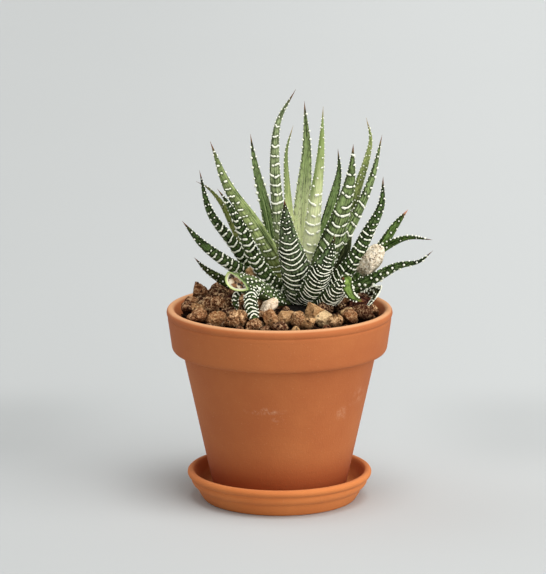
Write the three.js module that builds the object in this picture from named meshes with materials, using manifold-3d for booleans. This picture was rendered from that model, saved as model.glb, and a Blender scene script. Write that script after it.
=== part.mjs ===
// Zebra haworthia in a terracotta pot with its saucer. Millimetres, +Z up.
// The origin is the centre of the saucer's flat underside, and the viewer's side is -Y.
import * as THREE from "three";
import { mergeVertices } from "three/addons/utils/BufferGeometryUtils.js";
import Module from "manifold-3d";

const wasm = await Module();
wasm.setup();

// Driving dimensions

const GAP = 0.3; // between pieces that touch
const ROUND_STEPS = 36; // steps round the pot and the saucer
const SOIL_STEPS = 24; // steps round the soil
const BED_STEPS = 12; // steps round the crumbs that the stones are bedded in

const RIM_RADIUS = 50; // outside of the pot's collar, the widest place
const RIM_TOP = 85.2;
const COLLAR_BOTTOM = 66.7;
const COLLAR_LOW_RADIUS = 47.6;
const POT_BASE = 4.6;
const POT_BASE_RADIUS = 29.6;
const BODY_TOP_RADIUS = 42.9; // where the body runs in under the collar
const POT_WALL = 4.6;
const POT_FLOOR = 5;
const DRAIN_RADIUS = 6;

const SAUCER_BASE_RADIUS = 33.9;
const SAUCER_LIP_RADIUS = 41.1;
const SAUCER_TOP = 13.1;
const SAUCER_FLOOR = 4.3;

const SOIL_EDGE = 78.5; // height of the soil at the pot's wall
const SOIL_TOP = 85; // height of the soil round the stem
const STEM_CENTRE = [11, 3];
const STEM_RADIUS = 5.5;
const STEM_TOP = 97;
const ROOT_BOTTOM = 42;
const CROWN_RADIUS = 10; // the hollow in the soil and gravel that the lowest leaves grow out of
const CROWN_DEPTH = 1.9;

const RIDGE = 0.45; // how far a white band or a pearl stands out of a leaf
const BAND_SWEEP = 0.5; // how far a band's ends run towards the tip, as a share of the half width
const LAST_RING = 0.975; // where the last ring lies before a leaf's tip, as a share of its length
const LEAST_HALF_WIDTH = 0.45;
const GRAVEL_PITCH = 12.4; // from stone to stone along a ring
const GRAVEL_SEED = 11;
const CRUMB_DEPTH = 1.8; // the bed of fine crumbs that the brown stones lie in
const STONE_RISE = 4.1; // the middle of a filling stone above the soil
const FINENESS = 0.1; // how far the gravel's surface may move where its smallest edges are dropped
const BARE_SOIL = { x: 7, y: -13, reach: 7 }; // a patch with no gravel in front of the plant

// Tools for solids

function solidOf(geometry) {
  const bare = new THREE.BufferGeometry();
  bare.setAttribute("position", geometry.getAttribute("position"));
  bare.setIndex(geometry.getIndex());
  const merged = mergeVertices(bare, 1e-4);
  const solid = new wasm.Manifold(
    new wasm.Mesh({
      numProp: 3,
      vertProperties: new Float32Array(merged.attributes.position.array),
      triVerts: new Uint32Array(merged.index.array),
    }),
  );
  if (solid.volume() < 0) throw new Error("a solid is inside out");
  return solid;
}

function geometryOf(solid) {
  const mesh = solid.getMesh();
  const places = new Float32Array(mesh.numVert * 3);
  for (let i = 0; i < mesh.numVert; i++) {
    const start = i * mesh.numProp;
    places.set(mesh.vertProperties.subarray(start, start + 3), i * 3);
  }
  const geometry = new THREE.BufferGeometry();
  geometry.setAttribute("position", new THREE.BufferAttribute(places, 3));
  geometry.setIndex(new THREE.BufferAttribute(new Uint32Array(mesh.triVerts), 1));
  geometry.computeVertexNormals();
  return geometry;
}

function largestBody(solid) {
  const bodies = solid.decompose();
  return bodies.reduce((best, body) => (body.volume() > best.volume() ? body : best));
}

// A solid of revolution about the vertical line through [x, y], from rows of [radius, height]
// that go up the outside.
function turned(rows, steps = ROUND_STEPS, [x, y] = [0, 0]) {
  const profile = rows.map(([radius, height]) => new THREE.Vector2(radius, height));
  const geometry = new THREE.LatheGeometry(profile, steps);
  geometry.rotateX(Math.PI / 2);
  geometry.translate(x, y, 0);
  return solidOf(geometry);
}

// A seeded row of numbers from 0 to 1.
function drawsFrom(seed) {
  let state = seed;
  return () => {
    state = (state * 1664525 + 1013904223) % 4294967296;
    return state / 4294967296;
  };
}

const smooth = THREE.MathUtils.smoothstep;
const mix = THREE.MathUtils.lerp;

// Saucer and pot

function saucerSolid() {
  const lip = SAUCER_LIP_RADIUS;
  return turned([
    [0, 0],
    [SAUCER_BASE_RADIUS, 0],
    [lip - 6.6, 0.7],
    [lip - 5.2, 3],
    [lip - 4.2, 5.3],
    [lip - 2.6, 6.4],
    [lip - 1.8, 8],
    [lip - 2.1, 9.4],
    [lip - 0.4, 10.3],
    [lip, 11.6],
    [lip - 0.5, 12.7],
    [lip - 1.5, SAUCER_TOP],
    [lip - 2.7, 12.9],
    [lip - 3.4, 11.9],
    [lip - 4.6, 8],
    [lip - 6.4, 5.2],
    [lip - 8.4, SAUCER_FLOOR],
    [0, SAUCER_FLOOR],
  ]);
}

// The inside radius of the pot at a height.
function potInside(height) {
  const share = (height - POT_BASE) / (COLLAR_BOTTOM - POT_BASE);
  return mix(POT_BASE_RADIUS, BODY_TOP_RADIUS, share) - POT_WALL;
}

function potSolid() {
  const floorTop = POT_BASE + POT_FLOOR;
  return turned([
    [DRAIN_RADIUS, POT_BASE],
    [POT_BASE_RADIUS - 0.8, POT_BASE],
    [POT_BASE_RADIUS, POT_BASE + 0.9],
    [BODY_TOP_RADIUS, COLLAR_BOTTOM],
    [COLLAR_LOW_RADIUS - 1, COLLAR_BOTTOM + 0.3],
    [COLLAR_LOW_RADIUS, COLLAR_BOTTOM + 1.6],
    [RIM_RADIUS - 0.6, RIM_TOP - 5.2],
    [RIM_RADIUS - 0.9, RIM_TOP - 4.6],
    [RIM_RADIUS - 0.2, RIM_TOP - 3.8],
    [RIM_RADIUS, RIM_TOP - 2],
    [RIM_RADIUS - 0.6, RIM_TOP - 0.6],
    [RIM_RADIUS - 1.8, RIM_TOP],
    [RIM_RADIUS - 3.6, RIM_TOP],
    [RIM_RADIUS - 4.8, RIM_TOP - 0.9],
    [potInside(76), 74],
    [potInside(floorTop), floorTop + 1],
    [potInside(floorTop) - 1.5, floorTop],
    [DRAIN_RADIUS, floorTop],
    [DRAIN_RADIUS, POT_BASE],
  ]);
}

// Soil and the stem with its root stock

function stemSolid(grow = 0) {
  const radius = STEM_RADIUS + grow;
  return turned(
    [
      [0, ROOT_BOTTOM - grow],
      [radius * 0.35, ROOT_BOTTOM + 3 - grow],
      [radius, SOIL_TOP - 18],
      [radius, STEM_TOP - 6],
      [radius * 0.62, STEM_TOP - 1.6 + grow],
      [0, STEM_TOP + grow],
    ],
    16,
    STEM_CENTRE,
  );
}

// The mounded top of the soil, as rows of [radius, height] from the wall to the middle.
function soilMound(rise = 0) {
  return [
    [potInside(74) - GAP, SOIL_EDGE + rise],
    [28, mix(SOIL_EDGE, SOIL_TOP, 0.7) + rise],
    [14, SOIL_TOP - 0.4 + rise],
    [0, SOIL_TOP + rise],
  ];
}

// The height of the soil at a distance from the pot's middle.
function soilHeight(radius) {
  const rows = soilMound();
  const outer = rows.findLastIndex(([reach]) => reach >= radius);
  const [from, to] = [rows[outer], rows[outer + 1]];
  return mix(to[1], from[1], (radius - to[0]) / (from[0] - to[0]));
}

// The round hollow about the stem, so that the roots of the leaves lie free.
function crownHollow() {
  const bottom = SOIL_TOP - CROWN_DEPTH;
  const top = RIM_TOP + 12;
  return turned(
    [
      [0, bottom],
      [CROWN_RADIUS - 2, bottom],
      [CROWN_RADIUS, RIM_TOP],
      [CROWN_RADIUS, top],
      [0, top],
    ],
    14,
    STEM_CENTRE,
  );
}

function soilSolid(standing) {
  const bottom = POT_BASE + POT_FLOOR + GAP;
  const body = turned(
    [
      [0, bottom],
      [potInside(bottom) - GAP - 1.5, bottom],
      [potInside(bottom + 1.2) - GAP, bottom + 1.2],
      [potInside(74) - GAP, 73.6],
      ...soilMound(),
    ],
    SOIL_STEPS,
  );
  return largestBody([crownHollow(), ...standing].reduce((left, outline) => left.subtract(outline), body));
}

// Leaves
// Each leaf follows a spine from the stem to its tip. "inner" is the way its upper face looks,
// "full" is how long it keeps its width, "bands" counts its raised bands from base to tip, and
// mark is "bands" for ridges across the back, "pearls" for knobs, and "teeth" for edges alone.

const LEAVES = {
  leaf_front_broad: {
    spine: [[10, 0, 86], [10, -7, 91], [8, -12, 101], [4, -16, 119], [2, -19, 138]],
    inner: [0.1, 1, 0.15], width: 15.5, full: 1.9, bands: 10, mark: "bands",
  },
  leaf_front_right: {
    spine: [[12, 0, 85], [13.5, -6, 91], [17, -10, 101], [20, -13, 112], [22, -15, 122]],
    inner: [-0.25, 1, 0.35], width: 12.6, full: 2, bands: 9, mark: "bands",
  },
  leaf_left_banded: {
    spine: [[8, 1, 86], [1, -3, 93], [-10, -10, 108], [-17, -16, 125], [-23, -19, 137], [-27, -20, 143]],
    inner: [0.45, 0.8, 0.3], width: 9.2, full: 2.4, bands: 12, mark: "bands",
  },
  leaf_right_banded: {
    spine: [[15, 2, 88], [22, 1, 97], [34.5, -6, 115], [43.5, -11, 132], [45, -13, 147]],
    inner: [-0.5, 0.8, 0.3], width: 8.2, full: 2.4, bands: 11, mark: "bands",
  },
  leaf_right_pearled: {
    spine: [[15, 1, 87], [25, 0, 92], [40, -6, 101], [53, -10, 108], [61, -11, 109], [67, -12, 114]],
    inner: [-0.2, 0.8, 0.7], width: 7.8, full: 2.8, bands: 11, mark: "pearls",
  },
  leaf_low_front: {
    spine: [[13, -1, 85], [18, -7, 89], [23, -12, 93], [29, -14, 98]],
    inner: [-0.4, 1, 0.2], width: 9, full: 3, bands: 6, mark: "bands",
  },
  leaf_arched_front: {
    spine: [[15, 0, 86], [23, -2, 90.5], [29.5, -7, 97], [33, -12, 99], [36, -17, 97], [38, -21, 93]],
    inner: [-0.3, -0.9, 0.4], width: 7.6, full: 2.6, bands: 7, mark: "teeth",
  },
  leaf_left_low: {
    spine: [[7, 2, 88], [-5, -1, 95.5], [-21, -6, 106], [-33.5, -9, 116], [-42.5, -11, 127]],
    inner: [0.35, 0.9, 0.3], width: 7.4, full: 3, bands: 10, mark: "bands",
  },
  leaf_left_curved: {
    spine: [[7, 4, 88], [-8, 2, 98], [-21, -3, 116], [-30.5, -6, 130], [-35, -8, 149]],
    inner: [0.6, 0.85, 0.3], width: 7.6, full: 2.4, bands: 11, mark: "bands",
  },
  leaf_left_smooth: {
    spine: [[8, 4, 90], [3, 4, 99], [-11, 5, 122], [-23, 7, 140], [-30.5, 8, 159]],
    inner: [0.6, -0.75, 0.45], width: 8.8, full: 2.4, bands: 11, mark: "bands",
  },
  leaf_tall: {
    spine: [[9, 2, 93], [3, 0, 106], [-0.5, -1, 128], [-2.2, -3, 154], [-0.5, -4, 170], [7, -4, 184]],
    inner: [0.1, 1, 0], width: 5.4, full: 2.8, bands: 13, mark: "bands",
  },
  leaf_right_upright: {
    spine: [[15, 3, 92], [20, 0, 107], [26.5, -5, 127], [31, -9, 146], [32, -11, 161]],
    inner: [-0.3, 1, 0.1], width: 8.2, full: 2, bands: 11, mark: "bands",
  },
  leaf_centre_pale: {
    spine: [[13, 4, 95], [13.5, 3, 106], [15.5, 1, 131], [18, 0, 154], [19, -1, 176]],
    inner: [-0.2, 1, 0], width: 8.6, full: 1.5, bands: 12, mark: "bands",
  },
  leaf_right_dark: {
    spine: [[15, 5, 92], [22, 8, 105], [33, 12, 123], [41, 16, 141], [45.5, 20, 160]],
    inner: [-0.7, 0.6, 0.2], width: 7, full: 2.2, bands: 11, mark: "bands",
  },
  leaf_centre_back: {
    spine: [[10, 5, 95], [9, 9, 107], [10, 13, 128], [12, 17, 154], [11, 20, 175]],
    inner: [0, -1, 0.1], width: 8.6, full: 2, bands: 11, mark: "teeth",
  },
  leaf_right_smooth: {
    spine: [[14, 6, 94], [17, 10, 104], [23, 18, 127], [26.5, 22, 143], [26, 24, 153]],
    inner: [-0.4, -0.85, 0], width: 7, full: 2, bands: 10, mark: "teeth",
  },
  leaf_right_thin: {
    spine: [[15, 7, 93], [20, 12, 107], [31, 18, 127], [39, 22, 149], [40.5, 23, 158], [38.5, 24, 167]],
    inner: [-0.5, 0.8, 0], width: 4.6, full: 2.2, bands: 10, mark: "pearls",
  },
  leaf_centre_thin: {
    spine: [[9, 5, 94], [6, 8, 108], [3, 12, 141], [3, 14, 154], [6, 15, 165]],
    inner: [0.6, -0.5, 0], width: 4.2, full: 2, bands: 10, mark: "pearls",
  },
  leaf_back_left_dark: {
    spine: [[8, 6, 92], [-1, 11, 104], [-6, 18, 126], [-11, 25, 146], [-13, 28, 159]],
    inner: [0.5, -0.85, 0], width: 7.2, full: 2.4, bands: 11, mark: "teeth",
  },
  leaf_left_dry_tip: {
    spine: [[7, 6, 88], [-5, 12, 102], [-15, 14, 117], [-25, 14, 130.5], [-32, 13, 137.5], [-37, 12, 140.5]],
    inner: [0.4, 0.8, 0.4], width: 4.4, full: 2.2, bands: 8, mark: "pearls",
  },
  leaf_back_left_low: {
    spine: [[7, 5, 87], [-3, 8, 88.5], [-13, 10, 90.5], [-25, 12, 95.5], [-33, 14, 100.5], [-38, 15, 105.5]],
    inner: [0.2, 0.9, 0.5], width: 6.4, full: 2.6, bands: 8, mark: "pearls",
  },
  leaf_back: {
    spine: [[11, 7, 90], [9, 18, 100], [6, 29, 113], [4, 36, 128]],
    inner: [0, -0.8, 0.6], width: 8.4, full: 2.2, bands: 7, mark: "bands",
  },
  leaf_back_left: {
    spine: [[8, 7, 89], [-3, 18, 97], [-12, 27, 107], [-17, 33, 119]],
    inner: [0.5, -0.6, 0.6], width: 7.6, full: 2.2, bands: 7, mark: "bands",
  },
  leaf_back_right: {
    spine: [[14, 7, 89], [21, 18, 96], [27, 28, 103], [29, 35, 113]],
    inner: [-0.5, -0.6, 0.6], width: 7.6, full: 2.2, bands: 7, mark: "bands",
  },
  leaf_back_low: {
    spine: [[12, 8, 87], [15, 20, 92], [18, 32, 96], [19, 41, 103]],
    inner: [0, -0.5, 0.9], width: 6.6, full: 2.2, bands: 7, mark: "bands",
  },
  leaf_back_spread: {
    spine: [[9, 8, 87], [1, 20, 92], [-7, 31, 97], [-12, 38, 105]],
    inner: [0.3, -0.5, 0.9], width: 6.4, full: 2.2, bands: 7, mark: "bands",
  },
};

// The round of points of a leaf's section, seen along the leaf: share of the half width across,
// share of the half width towards the back, and share of the ridge that the point takes on.
const SECTION = [
  { across: -1, back: -0.2, ridge: 0.35 },
  { across: -0.42, back: -0.36, ridge: 0 },
  { across: 0.42, back: -0.36, ridge: 0 },
  { across: 1, back: -0.2, ridge: 0.35 },
  { across: 0.62, back: 0.26, ridge: 1 },
  { across: 0, back: 0.42, ridge: 1 },
  { across: -0.62, back: 0.26, ridge: 1 },
];

// How much of the ridge stands at a section point on the ring of one band.
function ridgeShare(mark, point, band) {
  const onEdge = Math.abs(point.across) === 1;
  if (mark === "teeth") return onEdge ? 0.6 : point.ridge * 0.4;
  if (mark === "pearls") return point.ridge * ((point.across === 0) === (band % 2 === 0) ? 1.2 : 0.2);
  return point.ridge;
}

// The half width of a leaf at a share of its length from the base.
function halfWidth({ width, full }, share) {
  return (width / 2) * (1 - share ** full) * mix(0.8, 1, smooth(share, 0, 0.2));
}

// One leaf as rings of section points and a tip. With grow, it is the plain outline that much larger,
// which is what its neighbours keep clear of.
function leafSolid(leaf, grow = 0) {
  const line = new THREE.CatmullRomCurve3(leaf.spine.map((point) => new THREE.Vector3(...point)));
  const inner = new THREE.Vector3(...leaf.inner);
  const plain = grow > 0;
  const rings = plain ? 12 : leaf.bands * 2;
  const places = [];
  for (let ring = 0; ring <= rings; ring++) {
    const share = (ring / rings) * LAST_RING;
    const along = line.getTangentAt(share);
    const side = new THREE.Vector3().crossVectors(along, inner).normalize();
    const face = new THREE.Vector3().crossVectors(side, along);
    const half = Math.max(halfWidth(leaf, share), LEAST_HALF_WIDTH);
    const depth = half * (leaf.plump ?? 1);
    const fade = smooth(share, 0, 0.08) * (1 - smooth(share, 0.8, 1));
    const crest = !plain && ring % 2 === 1;
    for (const point of SECTION) {
      const raised = crest ? RIDGE * ridgeShare(leaf.mark, point, (ring - 1) / 2) * fade : 0;
      const reach = Math.hypot(point.across * half, point.back * depth);
      const swell = 1 + (raised + grow) / reach;
      const place = line.getPointAt(share);
      place.addScaledVector(side, point.across * half * swell);
      place.addScaledVector(face, -point.back * depth * swell);
      place.addScaledVector(along, BAND_SWEEP * point.across ** 2 * half * fade);
      places.push(place.x, place.y, place.z);
    }
  }
  const tip = line.getPointAt(1).addScaledVector(line.getTangentAt(1), grow);
  const root = line.getPointAt(0);
  places.push(tip.x, tip.y, tip.z, root.x, root.y, root.z);
  return ringedSolid(places, SECTION.length, rings + 1);
}

// A closed solid from rings of points, with an apex after the last ring and a centre at the first.
function ringedSolid(places, around, rings) {
  const faces = [];
  const last = (rings - 1) * around;
  const apex = rings * around;
  const centre = apex + 1;
  for (let i = 0; i < around; i++) {
    const next = (i + 1) % around;
    for (let ring = 0; ring < rings - 1; ring++) {
      const low = ring * around;
      const high = low + around;
      faces.push(low + i, low + next, high + next, low + i, high + next, high + i);
    }
    faces.push(last + i, last + next, apex, centre, next, i);
  }
  const geometry = new THREE.BufferGeometry();
  geometry.setAttribute("position", new THREE.BufferAttribute(new Float32Array(places), 3));
  geometry.setIndex(faces);
  return solidOf(geometry);
}

// Offsets: young side shoots, each with its leaves and foot grown together. The left one's first
// leaf is cut off square to "faces" at the point "at", with its dried end hollowed.

const OFFSETS = {
  offset_left: {
    foot: { centre: [5, -8], radius: 3, top: 88.5 },
    leaves: [
      {
        spine: [[5, -7, 87], [-1, -10, 92], [-8, -14, 97], [-16, -18.5, 100.5], [-28, -24, 102]],
        inner: [0.1, 0.6, 1], width: 11.4, full: 8, plump: 1.8, bands: 7, mark: "pearls",
      },
      {
        spine: [[-6, -14, 98], [-9.5, -20, 98.5], [-10.5, -25, 96], [-9.5, -28.5, 91.5], [-6.5, -30.5, 87.5]],
        inner: [0.2, 0.7, -0.5], width: 7, full: 3.6, bands: 6, mark: "bands",
      },
      {
        spine: [[-11, -15, 98], [-17, -17, 97.5], [-19.5, -21, 94], [-18, -24, 89.5]],
        inner: [0.6, 0.5, -0.5], width: 5, full: 3, bands: 5, mark: "bands",
      },
    ],
    cut: { at: [-21, -20.5, 101.3], faces: [-0.62, -0.66, 0.42], hollow: 0.72 },
  },
  offset_right: {
    foot: { centre: [32.5, 13], radius: 3.6, top: 88.5 },
    leaves: [
      {
        spine: [[33, 13.5, 86], [38, 17, 91], [41.5, 19, 100], [46.5, 22, 110], [52, 25, 118], [57.5, 27, 125]],
        inner: [-0.4, 0.9, 0.3], width: 5, full: 5, plump: 1.3, bands: 8, mark: "pearls",
      },
      {
        spine: [[33.5, 13, 86], [39, 16.5, 92], [43.5, 18, 103], [49, 18.5, 110], [57, 17, 114], [68, 15, 113.5]],
        inner: [-0.2, 0.7, 0.7], width: 5, full: 2.6, plump: 1.3, bands: 9, mark: "teeth",
      },
      {
        spine: [[34, 12, 86], [39.5, 9, 91], [42.5, 3, 93], [43, -4, 94.5], [41, -10, 92], [37, -14, 88]],
        inner: [0.6, 0.3, -0.6], width: 5.6, full: 2.6, bands: 7, mark: "pearls",
      },
    ],
  },
};

// The block that takes away everything past the cut, and the plug that hollows the cut end.
function cutAway({ at, faces, hollow }, leaf, grow) {
  const away = new THREE.Vector3(...faces).normalize();
  const turn = new THREE.Quaternion().setFromUnitVectors(new THREE.Vector3(0, 0, 1), away);
  const block = new THREE.BoxGeometry(60, 60, 60).toNonIndexed();
  block.translate(0, 0, 30 + grow);
  block.applyQuaternion(turn);
  block.translate(...at);
  const plug = new THREE.SphereGeometry((leaf.width / 2) * hollow, 10, 6);
  plug.scale(1, 1, 0.45);
  plug.applyQuaternion(turn);
  plug.translate(...at);
  return grow > 0 ? solidOf(block) : solidOf(block).add(solidOf(plug));
}

function offsetSolid({ foot, leaves, cut }, grow = 0) {
  const radius = foot.radius + grow;
  const stump = turned(
    [
      [0, SOIL_EDGE - 12 - grow],
      [radius * 0.6, SOIL_EDGE - 10 - grow],
      [radius, SOIL_EDGE],
      [radius, foot.top - 1.5],
      [0, foot.top + 1 + grow],
    ],
    10,
    foot.centre,
  );
  const solids = leaves.map((leaf) => leafSolid(leaf, grow));
  if (cut) solids[0] = solids[0].subtract(cutAway(cut, leaves[0], grow));
  return solids.reduce((sum, solid) => sum.add(solid), stump);
}

// Gravel

const STONE_FORMS = {
  dodecahedron: () => new THREE.DodecahedronGeometry(1),
  icosahedron: () => new THREE.IcosahedronGeometry(1),
  block: () => new THREE.BoxGeometry(1.4, 1.4, 1.4),
};

// A rough pebble: a ball of few faces with its corners drawn in and out at random, then stretched,
// turned and put in place. The plainest have the faces of a block.
function stoneSolid({ at, size, turn = 0, tilt = 0, form = "icosahedron" }, seed) {
  const draw = drawsFrom(seed);
  const ball = STONE_FORMS[form]();
  ball.deleteAttribute("normal");
  ball.deleteAttribute("uv");
  const geometry = mergeVertices(ball, 1e-4);
  const places = geometry.getAttribute("position");
  for (let i = 0; i < places.count; i++) {
    const reach = form === "block" ? 0.74 + 0.46 * draw() : 0.84 + 0.3 * draw();
    places.setXYZ(i, places.getX(i) * reach, places.getY(i) * reach, places.getZ(i) * reach);
  }
  geometry.scale(size[0] / 2, size[1] / 2, size[2] / 2);
  geometry.rotateY(-tilt);
  geometry.rotateZ(turn);
  geometry.translate(...at);
  return solidOf(geometry);
}

// Stones that stand out by colour or place. Sizes are whole lengths along, across and up.
const STONES = {
  pebble_pumice_right: {
    at: [39.3, -4.6, 108.2],
    size: [17.5, 9.5, 8.6],
    turn: 0.1,
    tilt: 0.74,
    colour: 0xd9c7b4,
    form: "dodecahedron",
  },
  pebble_cream_front: { at: [-4, -20, 90], size: [9, 7, 8], turn: 0.5, tilt: 0.5, colour: 0xd8c2a2 },
  pebble_brown_caught: { at: [-13, -5, 102.5], size: [5.5, 4.5, 5], turn: 0.3, tilt: 0.2, colour: 0x93735a },
  pebble_tan_front: { at: [15.5, -20, 88], size: [14, 10, 10], turn: -0.35, tilt: -0.3, colour: 0xb98a5c },
  pebble_tan_front_right: { at: [20, -27, 86.3], size: [9, 9, 9], turn: 0.9, tilt: 0.2, colour: 0xa87a50 },
  pebble_tan_right: { at: [30, -18, 86], size: [8, 8, 9], turn: 0.2, tilt: 0, colour: 0xb08457 },
  pebble_tan_left: { at: [-35, -6, 85], size: [10, 9, 9.6], turn: 0.2, tilt: 0.1, colour: 0xb58a60 },
  pebble_tan_left_front: { at: [-28, -22, 85], size: [10, 9, 9], turn: 1.1, tilt: 0, colour: 0xa97c54 },
  pebble_red_left: { at: [-23, 1, 87], size: [9, 8, 8], turn: 0.5, tilt: 0, colour: 0x6b3a2c },
  pebble_red_right: { at: [35, -3, 87], size: [10, 9, 9], turn: 0.3, tilt: 0, colour: 0x8a4a34 },
};

// Brown lava that shows best. The rest fills the pot by rule.
const BROWN_STONES = [
  { at: [-36, 19, 89.5], size: [12, 11, 13.5], turn: 0.4, tilt: 0.3 },
  { at: [1, -27, 86.8], size: [20, 12, 11], turn: 0.1, tilt: 0.05 },
  { at: [-18, -26, 86], size: [12, 10, 10], turn: 0.3, tilt: 0.1 },
  { at: [-9, -31, 84.8], size: [10, 9, 9], turn: 0.8, tilt: 0 },
  { at: [-31, 6, 86.5], size: [10, 9, 9], turn: 0.2, tilt: 0.2 },
  { at: [-25, 26, 87], size: [11, 9, 11], turn: 0.1, tilt: 0.1 },
  { at: [28, -27, 84], size: [9, 9, 8], turn: 0.7, tilt: 0 },
  { at: [39, -10, 85.5], size: [9, 9, 9], turn: 0.2, tilt: 0.2 },
];

// Brown stones on rings over the soil, left out where one of the stones above already lies, at the
// stem, and on the patch of bare soil in front of it.
function fillingStones() {
  const draw = drawsFrom(GRAVEL_SEED);
  const taken = [...Object.values(STONES), ...BROWN_STONES].filter(({ at }) => at[2] < 95);
  const bare = [{ x: STEM_CENTRE[0], y: STEM_CENTRE[1], reach: 13 }, BARE_SOIL];
  const stones = [];
  for (let radius = 37; radius > 6; radius -= GRAVEL_PITCH * 0.85) {
    const count = Math.round((2 * Math.PI * radius) / GRAVEL_PITCH);
    for (let i = 0; i < count; i++) {
      const angle = (2 * Math.PI * (i + 0.5 * draw())) / count;
      const x = radius * Math.cos(angle);
      const y = radius * Math.sin(angle);
      const size = GRAVEL_PITCH * (0.84 + 0.2 * draw());
      const height = soilHeight(radius) + STONE_RISE + 0.8 * draw();
      const turn = Math.PI * draw();
      const open = bare.every((patch) => Math.hypot(patch.x - x, patch.y - y) > patch.reach);
      if (open && taken.every(({ at }) => Math.hypot(at[0] - x, at[1] - y) > 4.8)) {
        stones.push({
          at: [x, y, height],
          size: [size, size * 0.9, size * 0.8],
          turn,
          tilt: 0.9 * (draw() - 0.5),
          form: "block",
        });
      }
    }
  }
  return stones;
}

// The part

const part = new THREE.Group();

function place(name, solid, colour, roughness = 0.8) {
  const material = new THREE.MeshStandardMaterial({ color: colour, roughness, metalness: 0 });
  const mesh = new THREE.Mesh(geometryOf(solid), material);
  mesh.name = name;
  part.add(mesh);
}

const TERRACOTTA = 0xba6b3c;
const BROWN = 0x7d5138;
const SOIL = 0x231b17;
const STEM = 0x5d6b3a;
const GREENS = { bands: 0x35563a, pearls: 0x47683a, teeth: 0x5f8a4a };

place("saucer", saucerSolid(), TERRACOTTA, 0.85);
place("pot", potSolid(), TERRACOTTA, 0.85);
place("stem", stemSolid(), STEM);

// What later pieces keep clear of, each a little larger than the piece itself.
const outlines = [stemSolid(GAP)];

function meets(a, b) {
  const [boxA, boxB] = [a.boundingBox(), b.boundingBox()];
  return [0, 1, 2].every((k) => boxA.min[k] < boxB.max[k] && boxB.min[k] < boxA.max[k]);
}

function clearOf(solid, others) {
  const near = others.filter((other) => meets(solid, other));
  return largestBody(near.reduce((left, other) => left.subtract(other), solid));
}

const LEAF_MARGIN = GAP + RIDGE;
const LEAVES_BEFORE_OFFSETS = 7;

Object.entries(LEAVES).forEach(([name, leaf], index) => {
  if (index === LEAVES_BEFORE_OFFSETS) {
    for (const [offsetName, offset] of Object.entries(OFFSETS)) {
      place(offsetName, clearOf(offsetSolid(offset), outlines), GREENS.pearls, 0.5);
      outlines.push(offsetSolid(offset, LEAF_MARGIN));
    }
  }
  place(name, clearOf(leafSolid(leaf), outlines), GREENS[leaf.mark], 0.5);
  outlines.push(leafSolid(leaf, LEAF_MARGIN));
});

// The room that the gravel fills: above the soil and inside the pot's wall.
const insideOfPot = turned(
  [
    ...soilMound(GAP).reverse(),
    [RIM_RADIUS - 5.4, RIM_TOP - 1],
    [RIM_RADIUS - 5.4, RIM_TOP + 20],
    [0, RIM_TOP + 20],
  ],
  SOIL_STEPS,
).subtract(crownHollow());
const stoneOutlines = [];
Object.entries(STONES).forEach(([name, stone], index) => {
  const whole = stoneSolid(stone, 100 + index);
  const caught = stone.at[2] > 95;
  const inside = caught ? whole : whole.intersect(insideOfPot);
  place(name, clearOf(inside, [...outlines, ...stoneOutlines]), stone.colour, 0.95);
  const larger = { ...stone, size: stone.size.map((length) => length + 3 * GAP) };
  stoneOutlines.push(stoneSolid(larger, 100 + index));
});

// Fine crumbs of the same lava under the stones, which they are bedded in.
const bareSoil = new THREE.SphereGeometry(BARE_SOIL.reach, 12, 8);
bareSoil.scale(1, 0.8, 1.4);
bareSoil.translate(BARE_SOIL.x, BARE_SOIL.y, SOIL_TOP);
const crumbs = turned([...soilMound(GAP).reverse(), ...soilMound(GAP + CRUMB_DEPTH)], BED_STEPS);
const allBrown = [...BROWN_STONES, ...fillingStones()].map((stone, index) => stoneSolid(stone, 300 + index));
const heap = allBrown.reduce((sum, solid) => sum.add(solid), crumbs.subtract(solidOf(bareSoil)));
const brown = heap.intersect(insideOfPot);
place("gravel_brown", clearOf(brown, [...outlines, ...stoneOutlines]).simplify(FINENESS), BROWN, 0.95);

place("soil", soilSolid(outlines.filter((outline) => outline.boundingBox().min[2] < SOIL_TOP)), SOIL, 1);

export default part;
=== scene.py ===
"""Looks of a potted zebra haworthia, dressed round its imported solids.

The plant, its gravel, the terracotta pot and the saucer are built here as fine meshes with
node-based materials. Lengths are in millimetres and become metres where a mesh is made.
"""

import logging
import math
import random
from collections.abc import Sequence
from dataclasses import dataclass, field
from enum import Enum

import bpy
import numpy as np
from mathutils import Matrix, Vector, noise


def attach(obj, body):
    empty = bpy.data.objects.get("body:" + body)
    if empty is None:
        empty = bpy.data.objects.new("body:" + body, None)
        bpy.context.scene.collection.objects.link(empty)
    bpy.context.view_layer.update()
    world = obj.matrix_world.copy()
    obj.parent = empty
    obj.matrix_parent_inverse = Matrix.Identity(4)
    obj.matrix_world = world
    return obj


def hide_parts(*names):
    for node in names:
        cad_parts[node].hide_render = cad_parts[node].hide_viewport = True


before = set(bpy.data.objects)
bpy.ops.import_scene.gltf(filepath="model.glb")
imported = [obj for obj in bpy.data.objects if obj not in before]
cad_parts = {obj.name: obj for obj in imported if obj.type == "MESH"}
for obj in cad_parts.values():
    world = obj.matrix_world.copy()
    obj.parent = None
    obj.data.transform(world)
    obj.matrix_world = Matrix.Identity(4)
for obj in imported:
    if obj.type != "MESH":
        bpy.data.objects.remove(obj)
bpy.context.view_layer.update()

MM = 0.001
Colour = tuple[float, float, float]
Point = tuple[float, float, float]
Faces = list[tuple[int, ...]]
Number = float | np.ndarray
Socket = bpy.types.NodeSocket
Thing = bpy.types.Object
Material = bpy.types.Material

log = logging.getLogger("haworthia")


def tint(red: int, green: int, blue: int) -> Colour:
    """Turns a colour as the eye names it (0 to 255) into the linear one that shaders use."""
    shares = (red / 255, green / 255, blue / 255)
    return tuple(s / 12.92 if s <= 0.04045 else ((s + 0.055) / 1.055) ** 2.4 for s in shares)


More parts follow.
